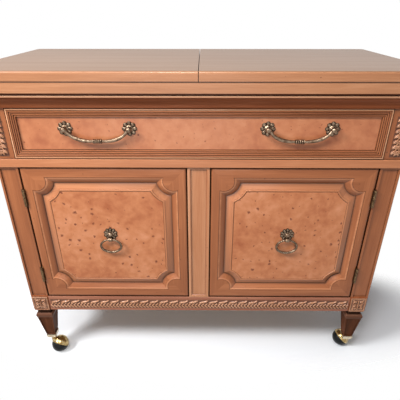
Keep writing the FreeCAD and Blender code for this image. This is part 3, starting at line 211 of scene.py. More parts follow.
def burlVeneer(name, **changes):
    look = burlLook | changes
    material, place, add = newFinish(name)
    figure = add("TexNoise", {"Vector": place, "Scale": 1 / look["figureSize"], "Detail": 4.0,
                              "Roughness": 0.55, "Distortion": 1.6})
    cloud = add("TexNoise", {"Vector": place, "Scale": 1 / look["clusterSize"], "Detail": 2.0})
    fleck = add("TexNoise", {"Vector": place, "Scale": 1 / look["mottle"], "Detail": 3.0})
    blend = 0.0
    for pattern, share in ((cloud, 0.4), (figure, 0.3), (fleck, 0.3)):
        blend = add("Math", (pattern, share, blend), operation="MULTIPLY_ADD")
    wood = add("ValToRGB", {"Fac": blend}, zip((0.35, 0.5, 0.65), look["tones"]))
    # knots: soft dark dots in the cells of a cell pattern, where a slow noise gathers them
    wander = add("TexNoise", {"Vector": place, "Scale": 1 / look["wanderSize"], "Detail": 2.0})
    offset = add("VectorMath", (wander.outputs["Color"], (look["wander"],) * 3), operation="MULTIPLY")
    shifted = add("VectorMath", (place, offset), operation="ADD")
    flat = add("SeparateXYZ", (shifted,))
    flat = add("CombineXYZ", {"X": flat, "Y": flat.outputs["Z"]})
    cells = add("TexVoronoi", {"Vector": flat, "Scale": 1 / look["knotPitch"], "Randomness": 1.0},
                voronoi_dimensions="2D")
    tint = add("SeparateColor", {"Color": cells.outputs["Color"]})
    gathered = add("MapRange", (cloud, 0.36, 0.54, 0.5, 1.0))
    chosen = add("MapRange", (tint, 0.45, 1.0, 0.03, look["knotSize"]))
    size = add("Math", (gathered, chosen), operation="MULTIPLY")
    depth = add("MapRange", (cells, 0.0, size, 1.0, 0.0))
    depth = add("Math", (depth, 0.6), operation="POWER")
    low, high = look["roughness"]
    return coated(material, IOR=1.5, Specular_IOR_Level=look["specular"], Coat_Weight=look["coat"],
                  Coat_Roughness=look["coatRoughness"],
                  Base_Color=add("Mix", {0: depth, 6: wood, 7: shade(look["knot"])}, data_type="RGBA"),
                  Roughness=add("MapRange", (figure, 0.3, 0.7, high, low)),
                  Normal=add("Bump", {"Height": figure, "Strength": 0.06, "Distance": 0.001}))


burl = burlVeneer("pecanBurlVeneer")
drawerBurl = burlVeneer("pecanBurlDrawerVeneer", tones=("#a86140", "#bd764f", "#ca865e"), knotSize=0.1)


def metal(name, light, dark, roughness, wear=0.012, patina=None):
    # metal with uneven tarnish; patina darkens what the vertex attribute marks
    material, place, add = newFinish(name)
    cloud = add("TexNoise", {"Vector": place, "Scale": 1 / wear, "Detail": 4.0, "Roughness": 0.6})
    colour = add("ValToRGB", {"Fac": cloud}, [(0.35, dark), (0.62, light)])
    if patina:
        glazeAndShadeShare = add("Attribute", attribute_name="glaze").outputs["Fac"]
        colour = add("Mix", {0: glazeAndShadeShare, 6: colour, 7: shade(patina)}, data_type="RGBA")
    low, high = roughness
    return coated(material, Metallic=1.0, Base_Color=colour,
                  Roughness=add("MapRange", (cloud, 0.35, 0.65, high, low)))


# Antique brass is pale on what hands rub and nearly black in the creases; casters are brighter and yellower.
antiqueBrass = metal("antiqueBrass", "#9c8670", "#604b3a", (0.28, 0.44), 0.006, "#1c110c")
hingeBronze = metal("darkHingeBronze", "#7d6549", "#3f2e20", (0.4, 0.55), 0.004)
polishedBrass = metal("polishedBrass", "#d3bb88", "#8f7444", (0.14, 0.26))
ferruleBrass = metal("paleFerruleBrass", "#dccfb8", "#b5a284", (0.2, 0.32))


def plainCoat(name, light, dark, grain, roughness, specular=0.5):
    # a moulded or sheet material: two near tones and a fine surface
    material, place, add = newFinish(name)
    cloud = add("TexNoise", {"Vector": place, "Scale": 1 / grain, "Detail": 3.0})
    return coated(material, IOR=1.5, Specular_IOR_Level=specular,
                  Base_Color=add("ValToRGB", {"Fac": cloud}, [(0.35, dark), (0.65, light)]),
                  Roughness=add("MapRange", (cloud, 0.3, 0.7, *roughness)),
                  Normal=add("Bump", {"Height": cloud, "Strength": 0.1, "Distance": 0.0003}))


# The tread is hard black rubber, the serving surface a pressed laminate, the catches moulded nylon.
casterRubber = plainCoat("blackCasterTread", "#0d0d0c", "#060606", 0.004, (0.3, 0.42), 0.2)
darkLaminate = plainCoat("darkLaminate", "#2e2620", "#211a15", 0.003, (0.3, 0.4))
catchPlastic = plainCoat("brownCatchPlastic", "#5a3a25", "#4a2f1d", 0.002, (0.45, 0.6))

print("stage: pieces")


def span(node):
    # a node's box at rest, in millimetres: low corner, high corner
    return [[value / mm for value in corner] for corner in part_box(node)]


def middleOf(node):
    return [(low + high) / 2 for low, high in zip(*span(node))]


def newObject(name, data):
    thing = bpy.data.objects.new(name, data)
    bpy.context.scene.collection.objects.link(thing)
    return thing


def turns(steps, start=0.0, end=90.0):
    # evenly spaced angles from start to end in degrees, both counted, as radians
    return [radians(start + (end - start) * step / steps) for step in range(steps + 1)]


def circle(steps):
    return turns(steps, 0, 360)[:-1]


class Form:
    # collects a closed mesh in millimetres; each point carries how dark it is painted, from 0 to 1, for glaze
    # and for painted shade in recesses
    def __init__(self):
        self.points, self.glazes, self.faces, self.slots = [], [], [], []

    def loop(self, points, glaze=0.0):
        first = len(self.points)
        self.points.extend(tuple(point) for point in points)
        count = len(self.points) - first
        self.glazes.extend([glaze] * count if np.isscalar(glaze) else glaze)
        return range(first, first + count)

    def cap(self, loop, slot=0):
        self.faces.append(tuple(loop))
        self.slots.append(slot)

    def skin(self, loops, slot=0, closed=False, around=True):
        # quads between neighbouring loops; slot is a number or a function of row and column
        pairs = list(zip(loops, loops[1:]))
        if closed:
            pairs.append((loops[-1], loops[0]))
        for row, (near, far) in enumerate(pairs):
            for column in range(len(near) if around else len(near) - 1):
                following = (column + 1) % len(near)
                self.faces.append((near[column], near[following], far[following], far[column]))
                self.slots.append(slot(row, column) if callable(slot) else slot)

    def capped(self, loops, slot=0, near=0, far=0, closed=False):
        # a skin closed on itself, or by a face at each end
        self.skin(loops, slot, closed)
        if not closed:
            self.cap(loops[0], near)
            self.cap(loops[-1], far)


def build(form, name, finishes, body="carcass", instead=(), crease=34):
    # makes the object, rides it on its body and hides the nodes that it stands for
    mesh = bpy.data.meshes.new(name)
    mesh.from_pydata([[value * mm for value in point] for point in form.points], [], form.faces)
    for finish in finishes:
        mesh.materials.append(finish)
    mesh.polygons.foreach_set("material_index", form.slots)
    mesh.attributes.new("glaze", "FLOAT", "POINT").data.foreach_set("value", form.glazes)
    work = bmesh.new()
    work.from_mesh(mesh)
    bmesh.ops.recalc_face_normals(work, faces=work.faces)
    for face in work.faces:
        face.smooth = True
    for edge in work.edges:
        edge.smooth = edge.calc_face_angle(0) < radians(crease)
    work.to_mesh(mesh)
    work.free()
    thing = newObject(name, mesh)
    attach(thing, body)
    if instead:
        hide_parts(*instead)


def arc(start, width, level, rise):
    # a half-round across a section: (inset, depth) pairs that stand up by rise from a level
    return [(start + width * (1 - cos(turn)) / 2, level - rise * sin(turn)) for turn in turns(6, 0, 180)]


def rectangle(low, high, inset, y):
    # corners of a rectangle in the XZ plane; its sides are bottom, right, top and left
    return [(low[0] + inset, y, low[1] + inset), (high[0] - inset, y, low[1] + inset),
            (high[0] - inset, y, high[1] - inset), (low[0] + inset, y, high[1] - inset)]


def levelOrUpright(row, column):
    # finish 0 on level members, finish 1 on upright ones
    return column % 2


def lathe(form, profile, matrix, count, closed=False, glaze=0.0):
    # turns (radius, height) pairs about the matrix's Z axis; open profiles are capped at both ends
    form.capped([form.loop([matrix @ Vector((radius * cos(turn), radius * sin(turn), height))
                            for turn in circle(count)], glaze) for radius, height in profile], closed=closed)


def tube(form, path, radii, count, glazes, closed=False):
    # a round rod along a path in a plane of constant y
    loops = []
    total = len(path)
    for number, (x, y, z) in enumerate(path):
        before = path[(number - 1) % total if closed else max(number - 1, 0)]
        after = path[(number + 1) % total if closed else min(number + 1, total - 1)]
        along = Vector((after[0] - before[0], 0, after[2] - before[2])).normalized()
        across = Vector((-along.z, 0, along.x))
        ring = [Vector((x, y, z)) + (across * cos(turn) + Vector((0, 1, 0)) * sin(turn)) * radii[number]
                for turn in circle(count)]
        loops.append(form.loop(ring, glazes[number]))
    form.capped(loops, closed=closed)


def relief(form, x, z, ground, back, height, step, deepest):
    # a carved face between x and z pairs: height(u, v) stands before the ground plane
    across = np.linspace(x[0], x[1], max(2, round(abs(x[1] - x[0]) / step)) + 1)
    upward = np.linspace(z[0], z[1], max(2, round((z[1] - z[0]) / step)) + 1)
    rise = height(*np.meshgrid(across, upward))
    # glaze with painted shade: the lower a point lies in the carving, the darker it is painted
    glazeAndShadeShare = np.clip(1.15 - rise / deepest * 1.9, 0, 1) ** 0.8
    loops = []
    for number, level in enumerate(upward):
        row = [(place, ground - lift, level) for place, lift in zip(across, rise[number])]
        loops.append(form.loop(row, list(glazeAndShadeShare[number])))
    form.skin(loops, around=False)
    border = list(loops[0]) + [loop[-1] for loop in loops[1:-1]] + list(loops[-1])[::-1]
    border += [loop[0] for loop in loops[-2:0:-1]]
    rear = form.loop([(form.points[k][0], back, form.points[k][2]) for k in border], 0.8)
    form.skin([border, rear])
    form.cap(rear)


print("stage: drawer front")

# Reeded frame of the drawer: a flat edge, a quirk and four reeds that step down to the burl panel.
drawerLook = {
    "edge": 3.4, "quirk": 0.7, "stepDown": 1.35, "beadRows": (1, 2, 3),
    "reeds": 4, "reedWide": 3.55, "reedRise": 1.8, "reedGap": 0.15,
    # how dark each step of a reed is painted: glaze with painted shade in the valleys
    "reedGlazeAndShade": (1.0, 0.5, 0.1, 0, 0.1, 0.5, 1.0),
}


def drawerFront(look=drawerLook):
    low, high = span("drawer_front")
    panelLow = span("drawer_burl_panel")[0]
    sunk = panelLow[1] - low[1]
    inner = panelLow[0] - low[0] - 0.2
    section = [(0, high[1] - low[1], 0.3), (0, 1.2, 0.3), (0.35, 0.35, 0), (1.2, 0, 0),
               (look["edge"] - 0.5, 0, 0), (look["edge"], look["quirk"], 0.75)]
    start, level = look["edge"] + 0.3, look["quirk"] + 0.6
    for reed in range(look["reeds"]):
        curve = arc(start, look["reedWide"], level, look["reedRise"])
        section += [(inset, y, glaze) for (inset, y), glaze in zip(curve, look["reedGlazeAndShade"])]
        start += look["reedWide"] + look["reedGap"]
        level += look["stepDown"]
    section += [(inner, sunk - 0.4, 0.9), (inner, sunk + 4, 0.9)]
    form = Form()
    loops = [form.loop(rectangle((low[0], low[2]), (high[0], high[2]), inset, low[1] + y), glaze)
             for inset, y, glaze in section]
    # the outer edge's rows take the lighter bead pecan: a painted highlight
    form.capped(loops, lambda row, column: 2 if row in look["beadRows"] else levelOrUpright(row, column))
    build(form, "drawerFrame", [shadedAlong["X"], shadedAlong["Z"], highlightBeadPecan], "drawer",
          ["drawer_front"], 30)


drawerFront()

print("stage: doors")

# Door: a frame with convex quarter rounds in its corners, and a raised burl panel that answers them.
doorLook = {
    "stile": 30, "rail": 33.5, "round": 34, "steps": 12,
    "meets": 22.5,                                 # from the opening's corner to where the round begins
    "edgeWide": 6.2, "edgeDeep": 4.8,              # rounded-over outer edge
    "moulding": (-8.5, 7.0), "mouldingDeep": 8.6,  # rounded edge that hangs over the opening
    # quirk beside the moulding, and the panel's lip: inset, depth and glaze with painted shade
    "quirk": ((-1.0, 0, 0.0), (-0.8, 0.9, 0.85), (-0.2, 0.9, 0.85), (0.0, 0.2, 0.1)),
    "valley": 9.4, "slope": (7.6, 21.6), "slopeRise": 6.6, "lip": 4.4, "lipRise": 1.7, "field": 27.4,
}


def cornersOf(low, high):
    return [(low[0], low[1]), (high[0], low[1]), (high[0], high[1]), (low[0], high[1])]


def cuspedLoop(hole, inset, y, look=doorLook):
    # the opening's outline moved inwards, with rounds about the opening's own corners
    radius = look["round"] + inset
    lean = asin(inset / radius)
    points = []
    for number, (x, z) in enumerate(cornersOf(*hole)):
        for step in range(look["steps"] + 1):
            turn = (pi / 2 - lean) + (2 * lean - pi / 2) * step / look["steps"] + pi / 2 * number
            points.append((x + radius * cos(turn), y, z + radius * sin(turn)))
    return points


def matchingRectangle(low, high, inset, y, hole, look=doorLook):
    # a rectangle with as many points as the cusped outline, so that its mitres run from the corners
    ways = [(0, -1), (1, 0), (0, 1), (-1, 0)]
    half = look["steps"] // 2
    points = []
    for number, (corner, opening) in enumerate(zip(cornersOf(low, high), cornersOf(*hole))):
        came, goes = ways[number], ways[(number + 1) % 4]
        mitre = [corner[k] + inset * (goes[k] - came[k]) for k in range(2)]
        reach = [abs(opening[k] - mitre[k]) + look["meets"] for k in range(2)]
        for step in range(-half, half + 1):
            way = came if step < 0 else goes
            points.append([mitre[k] + way[k] * reach[k] * step / half for k in range(2)])
    return [(x, y, z) for x, z in points]


def doorMember(row, column, look=doorLook):
    # finish 0 on the rails and 1 on the stiles, which meet at the mitres
    corner, step = divmod(column, look["steps"] + 1)
    return (corner if step >= look["steps"] // 2 else corner - 1) % 2


def door(word, look=doorLook):
    low, high = span("door_frame_" + word)
    face, back = low[1], high[1]
    low, high = (low[0] + 0.1, low[2]), (high[0] - 0.1, high[2])
    stile, rail = look["stile"], look["rail"]
    hole = ((low[0] + stile, low[1] + rail), (high[0] - stile, high[1] - rail))
    form = Form()
    # the door's sides, the quirk and the valley are painted dark: glaze with painted shade
    loops = [form.loop(matchingRectangle(low, high, 0, back, hole), 0.5)]
    for turn in turns(10):
        inset, y = look["edgeWide"] * (1 - cos(turn)), look["edgeDeep"] * (1 - sin(turn))
        loops.append(form.loop(matchingRectangle(low, high, inset, face + y, hole), 0.5 * (turn == 0)))
    start, end = look["moulding"]
    for inset, y, glaze in look["quirk"]:
        loops.append(form.loop(cuspedLoop(hole, start + inset, face + y), glaze))
    arris, level = len(loops) - 1, look["quirk"][-1][1]
    for step in range(1, 9):
        part = step / 8
        y = level + (look["mouldingDeep"] - level) * (0.5 * part + 0.5 * part ** 2)
        loops.append(form.loop(cuspedLoop(hole, start + (end - start) * part, face + y), 0.75 * part ** 6))
    loops.append(form.loop(cuspedLoop(hole, 0, face + look["mouldingDeep"]), 1.0))
    loops.append(form.loop(cuspedLoop(hole, 0, back), 0.6))
    # the arris rows take the plain, lighter pecan: a painted highlight along the moulding's edge
    form.skin(loops, lambda row, column: 2 if row in (arris, arris + 1) else doorMember(row, column), True)
    build(form, "doorFrame" + word.title(), [shadedAlong["X"], shadedAlong["Z"], pecanAlong["X"]],
          "door_" + word, ["door_frame_" + word], 11)

    form = Form()
    valley, field = look["valley"], look["field"]
    foot, top = look["slope"]
    back = span("door_panel_" + word)[1][1] - face
    # the valley is painted darkest and the slope lightens as it rises: glaze with painted shade
    section = [(0.3, back, 0.5), (0.3, valley, 1.0), (foot, valley, 0.95)]
    for step in range(1, 9):
        part = step / 8
        section.append((foot + (top - foot) * part, valley - look["slopeRise"] * part ** 1.15,
                        0.12 + 0.7 * (1 - part) ** 4))
    level = valley - look["slopeRise"]
    section.append((top + 0.3, level, 0.35))
    lip = arc(top + 0.4, look["lip"], level - 0.4, look["lipRise"])
    section += [(inset, y, 0.05) for inset, y in lip[1:-1]]
    section += [(field - 0.6, level - 0.4, 0.65), (field, level - 1.3, 0.15)]
    loops = [form.loop(cuspedLoop(hole, inset, face + y), glaze) for inset, y, glaze in section]
    form.capped(loops, doorMember, 2, 2)
    build(form, "doorPanel" + word.title(), [pecanAlong["X"], pecanAlong["Z"], burl],
          "door_" + word, ["door_panel_" + word], 30)


for word in sides:
    door(word)

print("stage: cornice")

# Cornice: fillet, bead, quirk, cove and foot, mitred at the front corners.
corniceLook = {
    # bead and quirk: in from the outer edge, down from the top, glaze with painted shade
    "bead": ((3.6, 0, 0.2), (3.4, 4.2, 0.5), (2.4, 4.6, 0.2), (0.8, 5.4, 0), (0, 7.4, 0), (0.7, 9.4, 0),
             (2.6, 10.6, 0.3), (5.4, 10.9, 0.8), (5.6, 12.2, 0.5)),
    "beadColumns": (3, 4, 5), "coveSteps": 8, "coveFoot": (5, 31), "coveGlazeAndShade": 0.25, "foot": 35,
}


def cornice(look=corniceLook):
    low, high = span("cornice_moulding")
    postLow, postHigh = span("corner_post_front_right")
    out = high[0] - postHigh[0] - 0.2      # how far it stands out from the posts
    section = [(0, 0, 0)] + [(out - inward, -down, glaze) for inward, down, glaze in look["bead"]]
    reach, drop = section[-1][:2]
    foot, footDown = look["coveFoot"]
    for turn in turns(look["coveSteps"])[1:]:
        section.append((foot + (reach - foot) * (1 - sin(turn)), drop - (footDown + drop) * (1 - cos(turn)),
                        look["coveGlazeAndShade"]))
    section += [(foot, 2 - look["foot"], 0.6), (foot - 0.6, -look["foot"], 0.3), (0, -look["foot"], 0.3)]
    form = Form()
    front, back = postLow[1], high[1]
    loops = [form.loop([(hand * (postHigh[0] + inset), y - inset * mitred, high[2] + rise)
                        for inset, rise, _ in section], [glaze for _, _, glaze in section])
             for hand, y, mitred in ((-1, back, 0), (-1, front, 1), (1, front, 1), (1, back, 0))]
    # the front takes the umber copy, painted shade in the cove under the top, and the bead the lighter bead
    # pecan, a painted highlight
    form.capped(loops, lambda row, column: 2 if column in look["beadColumns"] else int(row != 1), 1, 1)
    build(form, "corniceMoulding", [umberShadeAlong["X"], pecanAlong["Y"], highlightBeadPecan],
          instead=["cornice_moulding"])


cornice()

print("stage: posts and legs")

# Square members: front posts with a sunk panel and a carved ground, tapered legs with a rounded cap.
postLook = {"stile": 5.2, "sunk": 3, "round": 0.9, "wall": 0.7, "panelGap": 5,
            "footRound": 6.5, "footSteps": 5}
legLook = {
    "neck": 33, "neckHigh": 12.5, "seat": 1.2, "seatIn": 1.6, "cap": 46, "capHigh": 15, "capRound": (5, 7.5),
    "shaftTop": 43, "foot": 22.1, "stile": 4.4, "sunk": 1.4, "wall": 0.6, "endWall": 0.8,
    "panelTop": 4, "panelFoot": 14,
}
glazeAndShadeLine = 2.0      # breadth of the glaze and painted shade in a sunk panel's corners
blockHigh = 46       # carved block at each post's foot
noneSunk = (0, 0, 0, 0)


def squareLoop(centre, z, half, stile, sunk, bevel, wall):
    # a square section whose four faces may be sunk between stiles; sunk holds one depth for each face
    points = []
    edge = half - stile
    for turn in range(4):
        way = Vector((cos(pi / 2 * turn), sin(pi / 2 * turn)))
        out = Vector((way.y, -way.x))
        for along, depth in ((-half + bevel, 0), (-edge, 0), (-edge + wall, 1), (-edge + wall + glazeAndShadeLine, 1),
                             (edge - wall - glazeAndShadeLine, 1), (edge - wall, 1), (edge, 0), (half - bevel, 0)):
            spot = way * along + out * (half - sunk[turn] * depth)
            points.append((centre[0] + spot.x, centre[1] + spot.y, z))
    return points


def sunkGlazeAndShade(sunk, full, level):
    # glaze and painted shade in the corners of the sunk faces; level is a row along their upper or lower end
    darkening = []
    for depth in sunk:
        corner = full if depth else 0.0
        floor = corner if level else 0.0
        darkening += [0.05, 0.1, corner, floor, floor, corner, 0.1, 0.05]
    return darkening


def frontPost(word, side, look=postLook):
    name = "corner_post_front_" + word
    low, high = span(name)
    gap = 0.1      # kept free on the side of the door
    centre = ((low[0] + high[0] + side * gap) / 2, (low[1] + high[1]) / 2)
    half = (high[0] - low[0] - gap) / 2
    sunk = (look["sunk"], 0, 0, 0)
    rows = []
    for turn in turns(look["footSteps"]):
        rows.append((low[2] + look["footRound"] * (1 - cos(turn)),
                     half - look["footRound"] * (1 - sin(turn)) * 0.8, noneSunk))
    panelLow = span("post_carvings")[0][2] + blockHigh + look["panelGap"]
    panelHigh = span("middle_rail")[0][2] - look["panelGap"]
    wall, line = look["wall"], look["wall"] + glazeAndShadeLine
    rows += [(panelLow, half, noneSunk), (panelLow + wall, half, sunk), (panelLow + line, half, sunk),
             (panelHigh - line, half, sunk), (panelHigh - wall, half, sunk), (panelHigh, half, noneSunk),
             (high[2], half, noneSunk)]
    form = Form()
    loops = []
    for z, size, depths in rows:
        points = squareLoop(centre, z, size, look["stile"], depths, look["round"], wall)
        loops.append(form.loop(points, sunkGlazeAndShade(depths, 0.85, z in (panelLow + wall, panelHigh - wall))))
    # the rounded foot takes the umber copy: painted shade
    form.capped(loops, lambda row, column: int(row <= look["footSteps"]), 1)
    build(form, "frontPost" + word.title(), [shadedAlong["Z"], umberShadeAlong["Z"]], instead=[name],
          crease=25)


for word, side in sides.items():
    frontPost(word, side)


def leg(where, look=legLook):
    low, high = span("leg_" + where)
    centre = middleOf("leg_" + where)
    cap, neck, seat, seatIn, top = look["cap"], look["neck"], look["seat"], look["seatIn"], high[2]
    capTop = top - look["neckHigh"]
    capLow = capTop - look["capHigh"]
    rows = [(top, cap / 2 - 1), (top - seat, cap / 2 - seatIn)]
    for step in range(1, 7):
        part = step / 6
        rows.append((top - seat - (look["neckHigh"] - seat) * part,
                     neck / 2 + (cap - neck - 2 * seatIn) / 2 * (1 - part) ** 2.2))
    wide, deep = look["capRound"]
    rows += [(capTop - deep * (1 - cos(turn)), cap / 2 - wide * (1 - sin(turn))) for turn in turns(6)]
    rows += [(capLow + 5.5, cap / 2), (capLow + 2.2, cap / 2 - 0.8)]
    capRows = len(rows)
    rows = [(z, half, noneSunk) for z, half in rows + [(capLow, look["shaftTop"] / 2)]]
    panelTop, panelLow = capLow - look["panelTop"], low[2] + look["panelFoot"]
    sunk = (look["sunk"],) * 4
    wall, line = look["endWall"], look["endWall"] + glazeAndShadeLine
    levels = ((panelTop, noneSunk), (panelTop - wall, sunk), (panelTop - line, sunk), (panelLow + line, sunk),
              (panelLow + wall, sunk), (panelLow, noneSunk), (low[2], noneSunk))
    for z, depths in levels:
        taper = (z - low[2]) / (capLow - low[2])
        rows.append((z, (look["foot"] + (look["shaftTop"] - look["foot"]) * taper) / 2, depths))
    form = Form()
    loops = []
    for z, half, depths in rows:
        darkening = sunkGlazeAndShade(depths, 0.8, not panelLow + 1 < z < panelTop - 1)
        # the neck under the post is painted dark: painted shade
        if capTop - 1 < z < top - seat - 0.3:
            darkening = 0.75
        stile = look["stile"] * half / (cap / 2)
        loops.append(form.loop(squareLoop(centre, z, half, stile, depths, 0.5, look["wall"]), darkening))
    form.capped(loops, lambda row, column: int(row < capRows), 1)
    build(form, "leg" + where.title().replace("_", ""), [legWood, legCapWood],
          instead=["leg_" + where], crease=28)


for where in corners:
    leg(where)

print("stage: casters")

# Ball casters: a brass half-ball hood over a hard black half-ball wheel on a leaning axle.
casterLook = {
    "ball": 23.5, "hood": 24.1, "wall": 2.2, "trail": 22, "lean": 45,
    "parked": {"front_left": -24, "front_right": 100, "rear_left": 18, "rear_right": -34},
    # the hood's rolled rim: outwards, along the axle
    "rim": ((0.3, 0.5), (0.7, 1.2), (0.7, 2.6), (0.2, 3.3), (-0.3, 3.6)),
    "collar": (8, 47.2, 50.2), "neck": (6.3, 31.8), "stem": 4,
    "axle": 3, "bore": 3.05, "hub": (7, 9.8), "hubGap": 0.8, "axleEnd": -15.8,
    "grooves": (3, 6), "grooveDeep": 0.45,
}


def caster(where, look=casterLook):
    foot = Matrix.Translation(middleOf("leg_" + where)[:2] + [0])
    parked = Matrix.Rotation(radians(look["parked"][where]), 4, "Z")
    hand = sides[where.split("_")[1]]
    lean = Matrix.Rotation(radians(hand * look["lean"]), 4, "X")
    ball = foot @ parked @ Matrix.Translation((look["trail"], 0, look["ball"])) @ lean
    outer, inner = look["hood"], look["hood"] - look["wall"]
    hub, hubHigh = look["hub"]
    end, gap = look["axleEnd"], look["hubGap"]
    word = where.title().replace("_", "")
    form = Form()
    shell = [(max(0.01, inner * sin(turn)), inner * cos(turn)) for turn in turns(18, 0, 87.3)]
    shell += [(inner + 0.2, 0.5)] + [(outer + outward, along) for outward, along in look["rim"]]
    shell += [(max(0.01, outer * cos(turn)), outer * sin(turn)) for turn in turns(18, 10, 90)]
    lathe(form, shell, ball, 56)
    lathe(form, [(0.01, end + gap), (look["axle"], end + gap), (look["axle"], hubHigh), (hub, hubHigh),
                 (hub, inner - 1.5), (0.01, inner - 1.5)], ball, 24)
    wide, collarLow, collarTop = look["collar"]
    neck, neckLow = look["neck"]
    stemTop = span("caster_hood_" + where)[1][2]
    lathe(form, [(0.01, stemTop), (look["stem"], stemTop), (look["stem"], collarTop), (wide - 0.5, collarTop),
                 (wide, collarTop - 0.6), (wide, collarLow + 0.6), (wide - 0.5, collarLow),
                 (neck, collarLow - 0.8), (neck, neckLow), (0.01, neckLow)], foot, 32)
    build(form, "casterHood" + word, [polishedBrass], "caster_" + where,
          ["caster_hood_" + where], 32)
    form = Form()
    radius, bore = look["ball"], look["bore"]
    tread = [(0.01, end), (bore, end), (bore, hubHigh - gap), (hub, hubHigh - gap), (hub, -gap),
             (radius - 1.4, -gap), (radius - 0.5, -1.3)]
    for step, turn in enumerate(turns(24, 4, 89.5)[1:], 1):
        worn = radius - look["grooveDeep"] * (step in look["grooves"])
        tread.append((worn * cos(turn), -worn * sin(turn)))
    lathe(form, tread, ball, 56)
    build(form, "casterWheel" + word, [casterRubber], "wheel_" + where,
          ["caster_wheel_" + where], 40)


for where in corners:
    caster(where)

print("stage: pulls")

frontTurn = Matrix.Rotation(pi / 2, 4, "X")    # turns a lathe's axis to the front
acrossTurn = Matrix.Rotation(pi / 2, 4, "Y")   # turns a lathe's axis along the cabinet

# Bail: a rod that thickens towards a collar of five rings; its ends enter the ball bosses.
bailLook = {
    "rod": 2.7, "thick": 4.1, "collar": 5.4, "groove": 2.6, "beadLong": 4.2, "beads": 5, "darkening": 0.12,
    # right half from the boss to the middle: across, down
    "path": ((68.5, 0.3), (66.5, 2.2), (64.2, 5.2), (60.6, 9.8), (56.0, 14.0), (50.5, 17.6), (44.5, 20.2),
             (36.5, 22.9), (28.0, 24.6), (19.0, 25.5), (10.0, 25.5), (0.0, 25.5)),
}
rosetteLook = {
    "radius": 16.5, "thick": 3.4, "petals": 8, "ball": 6.5, "reach": 11,
    "neck": ((0.01, 1.5), (8.6, 1.6), (8.2, 2.6), (6.4, 3.6), (4.9, 4.8), (4.6, 6.0)),
}


def curveThrough(points, steps):
    # a smooth curve through points, as Catmull and Rom draw it
    padded = [points[0], *points, points[-1]]
    path = []
    for a, b, c, d in zip(padded, padded[1:], padded[2:], padded[3:]):
        for step in range(steps):
            t = step / steps
            path.append([0.5 * (2 * b[k] + (c[k] - a[k]) * t + (2 * a[k] - 5 * b[k] + 4 * c[k] - d[k]) * t * t
                                + (3 * b[k] - a[k] - 3 * c[k] + d[k]) * t ** 3) for k in range(2)])
    return path + [list(points[-1])]


def bail(word, look=bailLook):
    middle, y, _ = middleOf("bail_" + word)
    z = span("bail_" + word)[1][2] - look["rod"]
    right = curveThrough(look["path"], 10)
    collar = look["beadLong"] * look["beads"] / 2
    right = [(across, down) for across, down in right if across > collar + 0.3]
    spots = [(-across, down) for across, down in right]
    spots += [(-collar + 2 * collar * step / 48, look["path"][-1][1]) for step in range(49)]
    spots += right[::-1]
    radii, stains = [], []
    for across, down in spots:
        inward = 1 - min(1.0, abs(across) / look["path"][0][0])
        radius = look["rod"] + (look["thick"] - look["rod"]) * sin(pi * min(1, inward * 1.15)) ** 0.8
        darkening = look["darkening"]
        if abs(across) <= collar:
            lift = sin(pi * ((across + collar) / look["beadLong"] % 1)) ** 0.6
            radius = look["groove"] + (look["collar"] - look["groove"]) * lift
            darkening = 0.95 - 0.9 * lift
        radii.append(radius)
        stains.append(darkening)
    form = Form()
    tube(form, [(middle + across, y, z - down) for across, down in spots], radii, 20, stains)
    build(form, "bail" + word.title(), [antiqueBrass], "bail_" + word, ["bail_" + word], 38)


def petals(form, centre, radius, thick, count, rings=16, steps=144):
    # a petalled plate facing the front: arched petals parted by dark creases, round a raised middle
    x, y, z = centre
    eye = 0.34      # share of the radius that the middle takes
    loops = []
    for ring in range(rings + 1):
        part = 0.04 + 0.96 * ring / rings
        outer = max(0.0, (part - eye) / (1 - eye))
        points, darkening = [], []
        for turn in circle(steps):
            lobe = abs(cos(count / 2 * turn)) ** 0.75
            reach = radius * part * (1 - 0.2 * (1 - lobe) * outer ** 1.5)
            arch = lobe * sin(pi * min(1.0, outer * 0.92 + 0.04)) ** 0.8
            rise = thick * (0.3 + 0.7 * arch if outer else 0.62)
            points.append((x + reach * sin(turn), y - rise, z + reach * cos(turn)))
            darkening.append(min(1.0, 1.05 - arch) if outer else 0.5)
        loops.append(form.loop(points, darkening))
    form.capped(loops + [form.loop([(form.points[k][0], y, form.points[k][2]) for k in loops[-1]], 0.8)])


def bailBosses(look=rosetteLook):
    form = Form()
    face = span("drawer_burl_panel")[0][1]
    ball, neck = look["ball"], look["neck"]
    start = degrees(asin(neck[-1][0] / ball))
    profile = list(neck) + [(max(0.01, ball * sin(turn)), look["reach"] - ball * cos(turn))
                            for turn in turns(12, start, 180)]
    for word in sides:
        low, high = span("bail_" + word)
        reach = (high[0] - low[0]) / 2 + bailLook["rod"] / 2
        for hand in (-1, 1):
            centre = (middleOf("bail_" + word)[0] + hand * reach, face, high[2] - bailLook["rod"])
            petals(form, centre, look["radius"], look["thick"], look["petals"])
            lathe(form, profile, Matrix.Translation(centre) @ frontTurn, 32, glaze=0.12)
    build(form, "bailBosses", [antiqueBrass], "drawer", ["bail_rosettes"], 40)


# Ring pull: a double rosette with a dome and a lug, and an oval ring with a thick reeded foot.
ringLook = {
    "rod": 2.2, "foot": 3.0, "side": 0.6, "across": 25.2, "down": 18.3, "steps": 144,
    "reeded": 0.42, "reedTurn": 15,                   # radians either side of the foot, and reeds' pace
    "boss": 17.5, "petals": 10, "thick": 3.2,
    "small": 0.62, "smallPetals": 8, "smallThick": 2.6, "smallOut": 2.2,
    "dome": 6.2, "domeOut": 3.5, "lug": (2.9, 5.0, 9.0),
}


